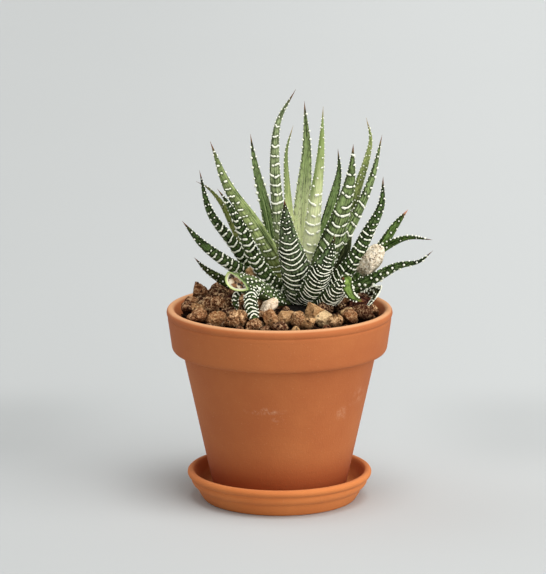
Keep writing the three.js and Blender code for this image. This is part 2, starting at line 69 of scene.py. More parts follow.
def mix(low: float, high: float, share: float) -> float:
    """Returns the number that lies at a share of the way from low to high."""
    return low + (high - low) * share


def smooth(values: Number, low: float, high: float) -> Number:
    """Returns a soft step from 0 at low to 1 at high."""
    share = np.clip((values - low) / (high - low), 0, 1)
    return share * share * (3 - 2 * share)


def drift(values: np.ndarray, seed: float) -> np.ndarray:
    """Returns a slow seeded wander between -1 and 1 for each of a row of numbers."""
    waves = ((1.0, 0.7), (2.3, 0.4), (5.1, 0.2))
    return sum(size * np.sin(rate * values + seed * (3.1 + rate)) for rate, size in waves) / 1.1


def unit(rows: np.ndarray) -> np.ndarray:
    """Returns directions with their lengths made 1."""
    return rows / np.linalg.norm(rows, axis=-1, keepdims=True)


class Value:
    """A number that a shader works out, which Python expressions go on from."""

    def __init__(self, tree: bpy.types.NodeTree, socket: Socket) -> None:
        """Wraps one output of a node tree."""
        self.tree, self.socket = tree, socket

    def combine(self, operation: str, first: "Value | float", second: "Value | float") -> "Value":
        """Adds one Math node.

        Args:
            operation: The node's operation.
            first: Its first number or output.
            second: Its second number or output.

        Returns:
            The node's result.
        """
        node = self.tree.nodes.new("ShaderNodeMath")
        node.operation = operation
        for slot, item in zip(node.inputs, (first, second)):
            if isinstance(item, Value):
                self.tree.links.new(item.socket, slot)
            else:
                slot.default_value = item
        return Value(self.tree, node.outputs[0])

    def __add__(self, other: "Value | float") -> "Value":
        """Returns the sum."""
        return self.combine("ADD", self, other)

    def __sub__(self, other: "Value | float") -> "Value":
        """Returns the difference."""
        return self.combine("SUBTRACT", self, other)

    def __rsub__(self, other: float) -> "Value":
        """Returns a plain number less this one."""
        return self.combine("SUBTRACT", other, self)

    def __mul__(self, other: "Value | float") -> "Value":
        """Returns the product."""
        return self.combine("MULTIPLY", self, other)

    __radd__, __rmul__ = __add__, __mul__

    def highest(self, other: "Value | float") -> "Value":
        """Returns the larger of the two."""
        return self.combine("MAXIMUM", self, other)

    def size(self) -> "Value":
        """Returns the number without its sign."""
        return self.combine("ABSOLUTE", self, 0.0)


class Tree:
    """A node tree in the making, to which one method adds any node."""

    def __init__(self, tree: bpy.types.NodeTree) -> None:
        """Takes the tree."""
        self.tree = tree

    def node(
        self, kind: str, settings: dict[str, object] | None = None, **sockets: object
    ) -> bpy.types.Node:
        """Adds any node.

        Args:
            kind: The node's type.
            settings: Its own settings, made before its sockets are touched. A list under
                "stops" fills a colour ramp with pairs of place and colour.
            **sockets: Values or links for its inputs, with _ for a space, or i and a number
                for an input by its place.

        Returns:
            The node.
        """
        node = self.tree.nodes.new(kind)
        for name, item in (settings or {}).items():
            if name == "stops":
                fill_ramp(node.color_ramp, item)
            else:
                setattr(node, name, item)
        for name, item in sockets.items():
            by_place = name[0] == "i" and name[1:].isdigit()
            slot = node.inputs[int(name[1:])] if by_place else node.inputs[name.replace("_", " ")]
            item = item.socket if isinstance(item, Value) else item
            if isinstance(item, Socket):
                self.tree.links.new(item, slot)
            else:
                slot.default_value = item
        return node


def fill_ramp(ramp: bpy.types.ColorRamp, stops: Sequence[tuple[float, Colour]]) -> None:
    """Puts the stops of a colour ramp in place.

    Args:
        ramp: The ramp, which starts with two stops.
        stops: Pairs of place and colour.
    """
    while len(ramp.elements) < len(stops):
        ramp.elements.new(1.0)
    for element, (position, colour) in zip(ramp.elements, stops):
        element.position = position
        element.color = (*colour, 1.0)


class Paint(Tree):
    """A material in the making, whose colour is laid on coat by coat."""

    def __init__(self, name: str, roughness: float, **constants: float) -> None:
        """Starts a material.

        Args:
            name: The material's name.
            roughness: The roughness all over, until something varies it.
            **constants: Other sockets of the surface, with _ for a space, and their numbers.
        """
        self.material = bpy.data.materials.new(name)
        self.material.use_nodes = True
        super().__init__(self.material.node_tree)
        self.surface = self.tree.nodes["Principled BSDF"]
        self.colour: Socket | None = None
        for socket, number in {"Roughness": roughness, **constants}.items():
            self.surface.inputs[socket.replace("_", " ")].default_value = number
        self.place = self.node("ShaderNodeTexCoord").outputs["Object"]

    def attribute(self, name: str) -> Value:
        """Reads one number that the mesh carries at its points."""
        node = self.node("ShaderNodeAttribute", {"attribute_name": name})
        return Value(self.tree, node.outputs["Fac"])

    def grain(
        self, scale: float, detail: float = 3.0, vector: Socket | None = None, roughness: float = 0.5
    ) -> Value:
        """Adds noise.

        Args:
            scale: How many lumps lie in a metre, or in a unit of the vector.
            detail: How many finer layers are added.
            vector: Where it is read, or None for the place on the object.
            roughness: How strong the finer layers are.

        Returns:
            A number about 0.5.
        """
        where = self.place if vector is None else vector
        sockets = {"Vector": where, "Scale": scale, "Detail": detail}
        node = self.node("ShaderNodeTexNoise", Roughness=roughness, **sockets)
        return Value(self.tree, node.outputs["Fac"])

    def cells(self, scale: float, vector: Socket | None = None) -> Value:
        """Adds round cells.

        Args:
            scale: How many cells lie in a metre, or in a unit of the vector.
            vector: Where they are read, or None for the place on the object.

        Returns:
            The distance from the nearest cell's middle, 0 to about 1.
        """
        where = self.place if vector is None else vector
        node = self.node("ShaderNodeTexVoronoi", Vector=where, Scale=scale)
        return Value(self.tree, node.outputs["Distance"])

    def step(self, value: Value, low: float, high: float) -> Value:
        """Gives a soft step.

        Args:
            value: The number that it follows.
            low: Where it is 0.
            high: Where it is 1, above or below low.

        Returns:
            A number from 0 to 1.
        """
        sockets = {"Value": value, "From_Min": low, "From_Max": high}
        node = self.node("ShaderNodeMapRange", {"interpolation_type": "SMOOTHSTEP"}, **sockets)
        return Value(self.tree, node.outputs["Result"])

    def vector(self, x: Value | float, y: Value | float, z: Value | float) -> Socket:
        """Puts three numbers together as a vector."""
        return self.node("ShaderNodeCombineXYZ", X=x, Y=y, Z=z).outputs[0]

    def coat(self, share: Value | float, over: object, under: object = None) -> None:
        """Lays a colour over what is there.

        Args:
            share: How much of it there is, 0 to 1.
            over: The colour or colour output that is laid on.
            under: What it is laid on, if not the colour so far.
        """
        colours = (self.colour if under is None else under, over)
        first, second = ((*c, 1.0) if isinstance(c, tuple) else c for c in colours)
        settings = {"data_type": "RGBA", "clamp_factor": True}
        self.colour = self.node("ShaderNodeMix", settings, i0=share, i6=first, i7=second).outputs[2]

    def ramp(self, value: Value, stops: Sequence[tuple[float, Colour]]) -> None:
        """Takes the colour from a number through stops of place and colour."""
        self.colour = self.node("ShaderNodeValToRGB", {"stops": stops}, Fac=value).outputs["Color"]

    def split(self) -> tuple[Value, ...]:
        """Returns the place on the object as three numbers."""
        node = self.node("ShaderNodeSeparateXYZ", Vector=self.place)
        return tuple(Value(self.tree, output) for output in node.outputs)

    def finish(
        self, height: Value | None = None, relief: float = 0.0, roughness: Value | None = None
    ) -> Material:
        """Wires the surface up.

        Args:
            height: What the bump follows, 0 to 1, if there is any.
            relief: How high the bump stands, in millimetres.
            roughness: What the roughness follows, where it varies.

        Returns:
            The material.
        """
        self.tree.links.new(self.colour, self.surface.inputs["Base Color"])
        if roughness is not None:
            self.tree.links.new(roughness.socket, self.surface.inputs["Roughness"])
        if height is not None:
            bump = self.node("ShaderNodeBump", Height=height, Distance=relief * MM, Strength=1.0)
            self.tree.links.new(bump.outputs[0], self.surface.inputs["Normal"])
        return self.material


def mesh_object(
    name: str,
    points: np.ndarray,
    faces: Faces,
    material: Material,
    numbers: dict[str, np.ndarray] | None = None,
) -> Thing:
    """Makes an object with smooth faces from points in millimetres.

    Args:
        name: The object's name.
        points: One row of x, y and z for each point.
        faces: The points of each face, counted from outside against the clock.
        material: What it is made of.
        numbers: Named numbers or vectors that its points carry.

    Returns:
        The object, at the origin.
    """
    mesh = bpy.data.meshes.new(name)
    mesh.from_pydata((np.asarray(points) * MM).tolist(), [], faces)
    for key, rows in (numbers or {}).items():
        wide = rows.ndim == 2
        layer = mesh.attributes.new(key, "FLOAT_VECTOR" if wide else "FLOAT", "POINT")
        layer.data.foreach_set("vector" if wide else "value", rows.astype(np.float32).ravel())
    mesh.materials.append(material)
    mesh.shade_smooth()
    mesh.update()
    thing = bpy.data.objects.new(name, mesh)
    bpy.context.scene.collection.objects.link(thing)
    return thing


def circle(
    radius: Number, height: Number, steps: int, centre: tuple[float, float] = (0.0, 0.0)
) -> np.ndarray:
    """Lays points round a circle.

    Args:
        radius: Its radius, or one for each point.
        height: Its height, or one for each point.
        steps: How many points it has.
        centre: Its middle.

    Returns:
        The points, against the clock as seen from above.
    """
    angles = around(steps)
    flat = [centre[0] + radius * np.cos(angles), centre[1] + radius * np.sin(angles)]
    return np.stack([*flat, np.broadcast_to(height, steps)], 1)


def around(steps: int) -> np.ndarray:
    """Returns even angles all round."""
    return np.linspace(0, 2 * math.pi, steps, endpoint=False)


def ring_faces(rings: int, steps: int) -> Faces:
    """Lists the faces between closed rings of points that follow each other.

    Args:
        rings: How many rings there are.
        steps: How many points each has.

    Returns:
        Four-sided faces that look outwards when the rings run against the clock, seen from
        the last one.
    """
    faces = []
    for low in range(0, (rings - 1) * steps, steps):
        for i in range(steps):
            after = (i + 1) % steps
            faces.append((low + i, low + after, low + steps + after, low + steps + i))
    return faces


def capped(rings: Sequence[np.ndarray], foot: Point, tip: Point) -> tuple[np.ndarray, Faces]:
    """Closes a body of rings with a point at either end.

    Args:
        rings: The rings, all with as many points, as ring_faces takes them.
        foot: The point that closes the first ring.
        tip: The point that closes the last ring.

    Returns:
        All its points and faces.
    """
    steps = len(rings[0])
    faces = ring_faces(len(rings), steps)
    end = len(rings) * steps
    for i in range(steps):
        after = (i + 1) % steps
        faces += [(end, after, i), (end + 1, end - steps + i, end - steps + after)]
    return np.vstack([*rings, [foot, tip]]), faces


def settle(piece: Thing, slot: str, *nodes: str) -> None:
    """Hands a finished piece over to the frame.

    Args:
        piece: The piece.
        slot: The record's material slot for the piece. Not used.
        *nodes: The CAD nodes that it stands for.
    """
    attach(piece, "root")
    if nodes:
        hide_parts(*nodes)
    log.info("%s: %d faces", piece.name, len(piece.data.polygons))


class NodeGroup(Tree):
    """A Geometry Nodes tree in the making, with named inputs for its sizes."""

    def __init__(self, name: str, **sizes: float | int) -> None:
        """Starts a tree.

        Args:
            name: The tree's name.
            **sizes: The named inputs and their usual numbers, with _ for a space.
        """
        super().__init__(bpy.data.node_groups.new(name, "GeometryNodeTree"))
        face = self.tree.interface
        face.new_socket("Geometry", in_out="INPUT", socket_type="NodeSocketGeometry")
        face.new_socket("Geometry", in_out="OUTPUT", socket_type="NodeSocketGeometry")
        self.identifiers: dict[str, str] = {}
        for key, number in sizes.items():
            kind = "NodeSocketInt" if isinstance(number, int) else "NodeSocketFloat"
            socket = face.new_socket(key.replace("_", " "), in_out="INPUT", socket_type=kind)
            socket.default_value = number
            self.identifiers[key] = socket.identifier
        self.start = self.tree.nodes.new("NodeGroupInput")
        self.end = self.tree.nodes.new("NodeGroupOutput")

    def size(self, key: str) -> Socket:
        """Returns a named input's output inside the tree."""
        return self.start.outputs[key.replace("_", " ")]

    def read(self, name: str, kind: str = "FLOAT") -> Socket:
        """Reads an attribute of the points."""
        node = self.node("GeometryNodeInputNamedAttribute", {"data_type": kind}, Name=name)
        return node.outputs["Attribute"]

    def close(self, set_out: bpy.types.Node, whole: Socket, **painted: object) -> None:
        """Ends the tree: joins what was set out to the rest and gives it its material.

        Args:
            set_out: The node that sets instances out.
            whole: The geometry that they lie on.
            **painted: The sockets of the Set Material node.
        """
        joined = self.node("GeometryNodeJoinGeometry")
        self.tree.links.new(set_out.outputs[0], joined.inputs[0])
        self.tree.links.new(whole, joined.inputs[0])
        real = self.node("GeometryNodeRealizeInstances", Geometry=joined.outputs[0])
        last = self.node("GeometryNodeSetMaterial", Geometry=real.outputs[0], **painted)
        self.tree.links.new(last.outputs[0], self.end.inputs[0])

    def dress(self, thing: Thing, **sizes: float | int) -> Thing:
        """Runs the tree on an object and keeps the result as its plain mesh.

        Args:
            thing: The object.
            **sizes: Numbers for the named inputs.

        Returns:
            The same object, with no modifier left.
        """
        modifier = thing.modifiers.new(self.tree.name, "NODES")
        modifier.node_group = self.tree
        for key, number in sizes.items():
            modifier[self.identifiers[key]] = number
        ready = thing.evaluated_get(bpy.context.evaluated_depsgraph_get())
        mesh = bpy.data.meshes.new_from_object(ready)
        thing.modifiers.clear()
        thing.data = mesh
        return thing


@dataclass(frozen=True)
class Terracotta:
    """Unglazed fired clay, with faint rings from the wheel, patches of lime bloom, painted shade and a
    painted warm reflection near the foot, and a painted highlight on the rim top.
    """

    name: str
    warm: Colour
    pale: Colour
    blooms: tuple[tuple[Point, Point, float], ...] = ()
    # Height above which the rim top gets a painted highlight; lip is how strong it is.
    rim_highlight_height: float = 85.2
    # Height below which the clay is painted darker and redder: painted shade and a painted warm reflection
    # from the saucer.
    bounce_shade_height: float = 29.0
    lip: float = 0.56

    def material(self) -> Material:
        """Builds the clay.

        Returns:
            The material.
        """
        paint = Paint(self.name, 0.82, Specular_IOR_Level=0.48)
        _, _, height = paint.split()
        clouds = paint.grain(26, 4, roughness=0.6)
        paint.coat(paint.step(clouds, 0.3, 0.72), self.pale, self.warm)
        rings = paint.grain(1.0, 3, paint.vector(0.0, 0.0, height * 520), 0.7)
        paint.coat(paint.step(rings, 0.56, 0.8) * 0.22, self.pale)
        sand = paint.grain(1500, 2)
        paint.coat(paint.step(sand, 0.64, 0.8) * 0.35, tint(208, 151, 106))
        # Painted shade and painted warm reflection from the saucer: the clay darkens and reddens towards
        # the foot.
        painted_bounce_shade = paint.step(height, self.bounce_shade_height * MM, (self.bounce_shade_height - 18.0) * MM)
        paint.coat(painted_bounce_shade * 0.75, tint(146, 60, 8))
        # Painted highlight: the rim top is painted paler and less saturated, where the top light falls.
        lip = paint.step(height, self.rim_highlight_height * MM, (self.rim_highlight_height + 1.0) * MM)
        paint.coat(lip * self.lip, tint(222, 176, 130))
        spots = paint.step(paint.cells(420), 0.1, 0.05) * paint.step(paint.grain(120, 1), 0.6, 0.68)
        paint.coat(spots * 0.75, tint(110, 52, 26))
        for centre, reach, strength in self.blooms:
            self.bloom(paint, centre, reach, strength)
        relief = sand * 0.5 + rings * 0.6 + paint.grain(380, 3) * 0.6
        return paint.finish(relief, 0.16, 0.76 + clouds * 0.12)

    @staticmethod
    def bloom(paint: Paint, centre: Point, reach: Point, strength: float) -> None:
        """Lays a pale patch of lime on the clay.

        Args:
            paint: The material in the making.
            centre: The patch's middle in millimetres.
            reach: How far it reaches along each axis, in millimetres.
            strength: How pale it is, 0 to 1.
        """
        sizes = {
            "Location": tuple(-c / r for c, r in zip(centre, reach)),
            "Scale": tuple(1 / (r * MM) for r in reach),
        }
        spread = paint.node("ShaderNodeMapping", Vector=paint.place, **sizes).outputs[0]
        length = paint.node("ShaderNodeVectorMath", {"operation": "LENGTH"}, i0=spread)
        near = paint.step(Value(paint.tree, length.outputs["Value"]), 1.0, 0.1)
        broken = paint.step(paint.grain(330, 4, roughness=0.7), 0.44, 0.7)
        paint.coat(near * broken * strength, tint(232, 196, 164))


@dataclass(frozen=True)
class LeafFinish:
    """The green of one kind of leaf, from its foot to its tip.

    The colours are as the eye names them. foot_reach and tip_reach are shares of the length,
    and the last five say how strong the streaks, the painted shade in the fold along the middle,
    the dark mottling, the pale edge and the deep upper part are, 0 to 1.
    """

    kind: str
    deep: tuple[int, int, int]
    light: tuple[int, int, int]
    foot: tuple[int, int, int]
    foot_reach: float
    slot: str = "leaf_dark_green"
    tip: tuple[int, int, int] = (112, 70, 44)
    tip_reach: float = 0.91
    streaks: float = 0.6
    fold_shade: float = 0.0
    mottle: float = 0.7
    edge: float = 0.15
    upper: float = 0.0

    def material(self) -> Material:
        """Builds the skin of the leaf.

        Returns:
            The material.
        """
        paint = Paint(f"leaf_{self.kind}", 0.48, Specular_IOR_Level=0.04, Subsurface_Weight=0.04)
        paint.surface.inputs["Subsurface Radius"].default_value = (0.4, 1.0, 0.25)
        paint.surface.inputs["Subsurface Scale"].default_value = 1.2 * MM
        names = ("share", "across", "inside", "run", "seed")
        share, across, inside, run, seed = (paint.attribute(name) for name in names)
        deep, light = tint(*self.deep), tint(*self.light)
        # A near-black green: the leaf's own dark mottling and veins, and the painted shade in the fold and
        # round the marks.
        dark_mottle_and_shade, chalk = tint(6, 12, 3), tint(208, 222, 166)
        lines = paint.grain(1.0, 3, paint.vector(across * 7 + seed * 9, run * 0.05, seed), 0.7)
        clouds = paint.grain(1.0, 3, paint.vector(across * 1.3 + seed * 5, run * 0.16, seed + 3))
        streak = paint.step(lines, 0.4, 0.62) * self.streaks
        paint.coat(streak + paint.step(clouds, 0.34, 0.66) * (1 - self.streaks), light, deep)
        paint.coat(inside * 0.25, light)
        paint.coat(paint.step(across.size(), 0.9, 1.0) * self.edge, tint(176, 196, 140))
        speck = paint.grain(1900, 2)
        paint.coat(paint.step(speck, 0.55, 0.75) * 0.12, tint(196, 210, 160))
        # The foot colour: on the pale leaves the base's own pale tone, on the dark leaves painted shade
        # round the crown.
        low = paint.step(share + (lines - 0.5) * 0.3, self.foot_reach, self.foot_reach * 0.25)
        paint.coat(low * 0.95, tint(*self.foot))
        paint.coat(paint.step(share + (clouds - 0.5) * 0.2, 0.42, 0.82) * self.upper, deep)
        flecks = paint.grain(1.0, 3, paint.vector(across * 5 + seed * 4, run * 0.5, seed + 7), 0.75)
        paint.coat(paint.step(flecks, 0.48, 0.37) * self.mottle, dark_mottle_and_shade)
        paint.coat(paint.step(flecks, 0.55, 0.7) * self.mottle * 0.5, chalk)
        # Painted shade along the fold in the middle of the leaf, with pale ribs along it.
        if self.fold_shade:
            middle = paint.step((across + (clouds - 0.5) * 0.7).size(), 0.34, 0.05)
            crease = paint.step(lines, 0.62, 0.34) * middle * paint.step(share, 0.16, 0.36)
            paint.coat(crease * self.fold_shade, dark_mottle_and_shade)
            ribs = paint.grain(1.0, 2, paint.vector(across * 13 + seed, run * 0.02, seed))
            paint.coat(paint.step(ribs, 0.5, 0.64) * 0.4, tint(196, 212, 148))
        veins = paint.grain(1.0, 2, paint.vector(across * 9 + seed * 3, run * 0.03, seed + 11))
        paint.coat(paint.step(veins, 0.42, 0.3) * self.mottle * 0.7, dark_mottle_and_shade)
        dry = paint.step(share + (clouds - 0.5) * 0.06, self.tip_reach, self.tip_reach + 0.07)
        paint.coat(dry, tint(*self.tip))
        paint.coat(paint.attribute("welt") * 0.08, tint(150, 176, 132))
        # Painted shade round the white marks: the skin is darkened near each bead.
        paint.coat(paint.attribute("shade_round_marks") * min(0.92, self.mottle * 1.25), dark_mottle_and_shade)
        relief = lines * 0.6 + flecks * 0.3 + speck * 0.2
        return paint.finish(relief, 0.14, 0.44 + clouds * 0.16)


@dataclass(frozen=True)
class PearlFinish:
    """The chalky white of the bands and pearls."""

    name: str = "pearl_white"

    def material(self) -> Material:
        """Builds the white.

        Returns:
            The material.
        """
        paint = Paint(self.name, 0.55, Specular_IOR_Level=0.35)
        soft = paint.grain(900, 3)
        paint.coat(paint.step(soft, 0.5, 0.8) * 0.5, tint(206, 214, 184), tint(246, 248, 230))
        return paint.finish(paint.grain(2600, 2), 0.05, 0.48 + soft * 0.14)


@dataclass(frozen=True)
class CutFinish:
    """The dried hollow end of a leaf that was cut: green rim, white ring, papery brown inside."""

    name: str = "cut_end"
    flesh: tuple[tuple[float, Colour], ...] = (
        (0.0, tint(140, 168, 84)),
        (0.14, tint(206, 220, 150)),
        (0.22, tint(206, 220, 150)),
        (0.32, tint(242, 240, 222)),
        (0.66, tint(232, 220, 196)),
        (0.82, tint(210, 184, 150)),
        (1.0, tint(176, 142, 106)),
    )

    def material(self) -> Material:
        """Builds the cut end.

        Returns:
            The material.
        """
        paint = Paint(self.name, 0.6)
        deep = paint.attribute("cut")
        rough = paint.grain(420, 4, roughness=0.7)
        paint.ramp(deep + (rough - 0.5) * 0.16, self.flesh)
        scraps = paint.step(paint.grain(430, 2, roughness=0.6), 0.46, 0.54)
        paint.coat(scraps * paint.step(deep, 0.34, 0.5), tint(146, 100, 62))
        cracks = paint.step(paint.grain(520, 2), 0.49, 0.42) * paint.step(deep, 0.34, 0.5)
        paint.coat(cracks * 0.95, tint(34, 20, 13))
        return paint.finish(rough + cracks * -0.6, 0.3)


@dataclass(frozen=True)
class Lava:
    """Porous stone: its lot number sets its tone and whether it is smooth or crumbly, and its underside
    gets painted shade.
    """

    name: str
    tones: tuple[Colour, ...]
    dust: Colour
    pit: Colour
    pits: float = 1.0
    pit_scale: float = 520.0
    rough: float = 0.8
    # How strong the painted shade on the stone's underside is.
    underside_shade: float = 0.8

    def material(self) -> Material:
        """Builds the stone.

        Returns:
            The material.
        """
        paint = Paint(self.name, 0.92, Specular_IOR_Level=0.05)
        lot = paint.attribute("lot")
        shift = paint.node("ShaderNodeVectorMath", i0=paint.place, i1=paint.vector(lot, lot * 0.7, 0.0))
        spot = shift.outputs[0]
        broad = paint.grain(190, 4, spot, 0.65)
        stops = tuple((i / (len(self.tones) - 1), tone) for i, tone in enumerate(self.tones))
        paint.ramp(lot + (broad - 0.5) * 0.7, stops)
        kind = paint.node("ShaderNodeMath", {"operation": "FRACT"}, i0=lot * 7.3)
        crumbly = paint.step(Value(paint.tree, kind.outputs[0]), 0.42, 0.7) * 0.6 + 0.4
        crumbly = crumbly * self.rough
        sand = paint.grain(1300, 3, spot, 0.7)
        crumbs = paint.grain(760, 3, spot, 0.8)
        paint.coat(paint.step(sand, 0.52, 0.7) * 0.45, self.dust)
        paint.coat(paint.step(crumbs, 0.51, 0.6) * crumbly, self.dust)
        gaps = paint.step(crumbs, 0.48, 0.39) * crumbly
        paint.coat(gaps.highest(paint.step(sand, 0.4, 0.28) * 0.35), self.pit)
        holes = paint.cells(self.pit_scale, spot)
        pit = paint.step(holes + (sand - 0.5) * 0.5, 0.34, 0.16) * self.pits
        pit = pit * paint.step(paint.grain(260, 2, spot), 0.4, 0.56)
        paint.coat(pit * (crumbly * 0.4 + 0.55), self.pit)
        # Painted shade: the stone is darkened towards its underside, where it sits in the bed.
        low = paint.step(paint.attribute("low") + (broad - 0.5) * 0.9, -0.25, 0.8)
        paint.coat(low * self.underside_shade, tint(11, 6, 4))
        return paint.finish(sand * 0.4 + crumbs * crumbly + broad * 0.3 - pit * 0.7, 1.0)


@dataclass(frozen=True)
class PottingSoil:
    """Damp, dark, crumbly soil."""

    name: str = "potting_soil"

    def material(self) -> Material:
        """Builds the soil.

        Returns:
            The material.
        """
        paint = Paint(self.name, 0.8, Specular_IOR_Level=0.2)
        crumbs = paint.cells(700)
        clouds = paint.grain(240, 4, roughness=0.7)
        paint.coat(paint.step(clouds, 0.42, 0.7), tint(40, 30, 25), tint(6, 5, 4))
        chips = paint.step(paint.cells(380), 0.16, 0.08) * paint.step(paint.grain(90, 1), 0.52, 0.6)
        paint.coat(chips * 0.7, tint(150, 128, 108))
        return paint.finish(clouds + crumbs * 0.8, 0.9, 0.62 + crumbs * 0.3)


@dataclass(frozen=True)
class StemFinish:
    """The short green-brown stem with the scars of old leaves."""

    name: str = "stem_skin"

    def material(self) -> Material:
        """Builds the stem's skin.

        Returns:
            The material.
        """
        paint = Paint(self.name, 0.7)
        _, _, height = paint.split()
        scars = paint.grain(1.0, 3, paint.vector(0.0, 0.0, height * 700), 0.7)
        clouds = paint.grain(300, 3)
        paint.coat(paint.step(scars, 0.4, 0.66), tint(116, 96, 62), tint(70, 76, 44))
        paint.coat(paint.step(clouds, 0.5, 0.7) * 0.6, tint(48, 44, 30))
        return paint.finish(scars + clouds * 0.5, 0.4)


@dataclass(frozen=True)
class Paper:
    """The pale paper floor, with painted light falloff from left to right and a painted shadow band beside
    and behind the saucer.
    """

    name: str = "paper_floor"
    shade: Colour = (0.464, 0.485, 0.494)
    # How dark the painted shadow band and the two ends of the painted falloff are.
    tones: Point = (0.8, 0.91, 1.08)

    def material(self) -> Material:
        """Builds the paper.

        Returns:
            The material.
        """
        paint = Paint(self.name, 0.9, Specular_IOR_Level=0.1)
        across, deep, _ = paint.split()
        clouds = paint.grain(3.0, 2)
        painted_shadow, painted_falloff_dark, painted_falloff_light = (tuple(c * tone for c in self.shade) for tone in self.tones)
        aside = paint.step((across + 0.005).size(), 0.055, 0.125)
        far = paint.step((deep - 0.12).size(), 0.1, 0.02)
        # Painted light falloff: the floor is painted darker on the left and paler on the right.
        paint.coat(paint.step(across, -0.26, 0.26) * 0.9 + clouds * 0.1, painted_falloff_light, painted_falloff_dark)
        # Painted shadow: a dimmer band beside and behind the saucer, strongest on the left.
        paint.coat(aside * far * (0.62 - across * 1.7), painted_shadow)
        return paint.finish()


@dataclass
class Lathe:
    """A turned piece of clay: a profile of radius and height carried round the middle."""

    name: str
    node: str
    finish: Terracotta
    profile: tuple[tuple[float, float], ...]

    ROUNDING = 2
    STEPS = 176
    WOBBLE = 0.05

    def rounded(self) -> np.ndarray:
        """Cuts the profile's corners into curves.

        Returns:
            Rows of radius and height.
        """
        rows = np.array(self.profile, float)
        for _ in range(self.ROUNDING):
            start, end = rows[:-1], rows[1:]
            length = np.linalg.norm(end - start, axis=1, keepdims=True)
            cut = (end - start) * np.minimum(0.25, 0.5 / np.maximum(length, 1e-6))
            inner = np.stack([start + cut, end - cut], 1).reshape(-1, 2)
            rows = np.vstack([rows[:1], inner[1:-1], rows[-1:]])
        return rows

    def ring(self, radius: float, height: float) -> np.ndarray:
        """Returns the points at one height, a hair off round."""
        turn = 1 + self.WOBBLE * MM * np.sin(around(self.STEPS) * 2 + height * 0.02)
        return circle(radius * turn, height, self.STEPS)

    def build(self) -> None:
        """Turns the profile, which closes on itself or starts and ends on the axis."""
        rows = self.rounded()
        if rows[0][0] > 0:
            places = np.vstack([self.ring(*row) for row in rows[:-1]])
            faces = ring_faces(len(rows) - 1, self.STEPS)
            last = (len(rows) - 2) * self.STEPS
            for i in range(self.STEPS):
                after = (i + 1) % self.STEPS
                faces.append((last + i, last + after, after, i))
        else:
            rings = [self.ring(*row) for row in rows[1:-1]]
            places, faces = capped(rings, (0, 0, rows[0][1]), (0, 0, rows[-1][1]))
        piece = mesh_object(self.name, places, faces, self.finish.material())
        settle(piece, self.finish.name, self.node)


class Face(Enum):
    """The two sides of a leaf."""

    BACK = 0
    INSIDE = 1


class Spine:
    """A smooth line through points, which knows its length."""

    SAMPLES = 600
    LOOK = 0.012

    def __init__(self, points: Sequence[Point]) -> None:
        """Lays the line.

        Args:
            points: What it goes through, in millimetres.
        """
        given = np.array(points, float)
        ends = [2 * given[0] - given[1], *given, 2 * given[-1] - given[-2]]
        spans = range(len(given) - 1)
        rows = [self.span(ends[i : i + 4], self.SAMPLES // len(spans)) for i in spans]
        self.line = np.vstack([*rows, given[-1:]])
        steps = np.linalg.norm(np.diff(self.line, axis=0), axis=1)
        self.reach = np.concatenate([[0], np.cumsum(steps)])
        self.length = float(self.reach[-1])

    @staticmethod
    def span(four: Sequence[np.ndarray], count: int) -> np.ndarray:
        """Samples the stretch between the middle two of four points.

        Args:
            four: The points.
            count: How many samples are taken.

        Returns:
            The samples, without the stretch's end.
        """
        p0, p1, p2, p3 = four
        d0, d1, d2 = (max(np.linalg.norm(b - a) ** 0.5, 1e-4) for a, b in ((p0, p1), (p1, p2), (p2, p3)))
        leave = ((p1 - p0) / d0 - (p2 - p0) / (d0 + d1) + (p2 - p1) / d1) * d1
        arrive = ((p2 - p1) / d1 - (p3 - p1) / (d1 + d2) + (p3 - p2) / d2) * d1
        t = np.linspace(0, 1, count, endpoint=False)[:, None]
        square, cube = t**2, t**3
        start = (2 * cube - 3 * square + 1) * p1 + (cube - 2 * square + t) * leave
        return start + (3 * square - 2 * cube) * p2 + (cube - square) * arrive

    def at(self, share: np.ndarray) -> np.ndarray:
        """Returns the points at shares of the length."""
        along = np.clip(share, 0, 1) * self.length
        return np.stack([np.interp(along, self.reach, self.line[:, k]) for k in range(3)], 1)

    def heading(self, share: np.ndarray) -> np.ndarray:
        """Returns the directions at shares of the length."""
        ahead, behind = np.minimum(share + self.LOOK, 1), np.maximum(share - self.LOOK, 0)
        return unit(self.at(ahead) - self.at(behind))


@dataclass(frozen=True)
class Marks:
    """How the white marks lie on a leaf, in millimetres and shares of its length or width.

    rows is how many rows there are, and up to the share merged they run together as bands.
    thick is a band's half thickness, pearl a pearl's half size, and reach how far rows go across.
    gaps and spare are how often a band breaks and how much it falls short at its ends. The rows
    begin at start. teeth and tooth are the spacing and the half size of the edge teeth. most is
    how many pearls a row has at most, and one_side keeps the bands to one half of the leaf.
    """

    rows: int
    merged: float = 0.55
    thick: float = 0.36
    pearl: float = 0.45
    reach: float = 0.93
    gaps: float = 0.1
    start: float = 0.05
    teeth: float = 2.2
    tooth: float = 0.3
    spare: float = 0.25
    most: int = 4
    one_side: bool = False


Bead = tuple[float, float, float, float, float]
Beads = tuple[np.ndarray, np.ndarray, np.ndarray]


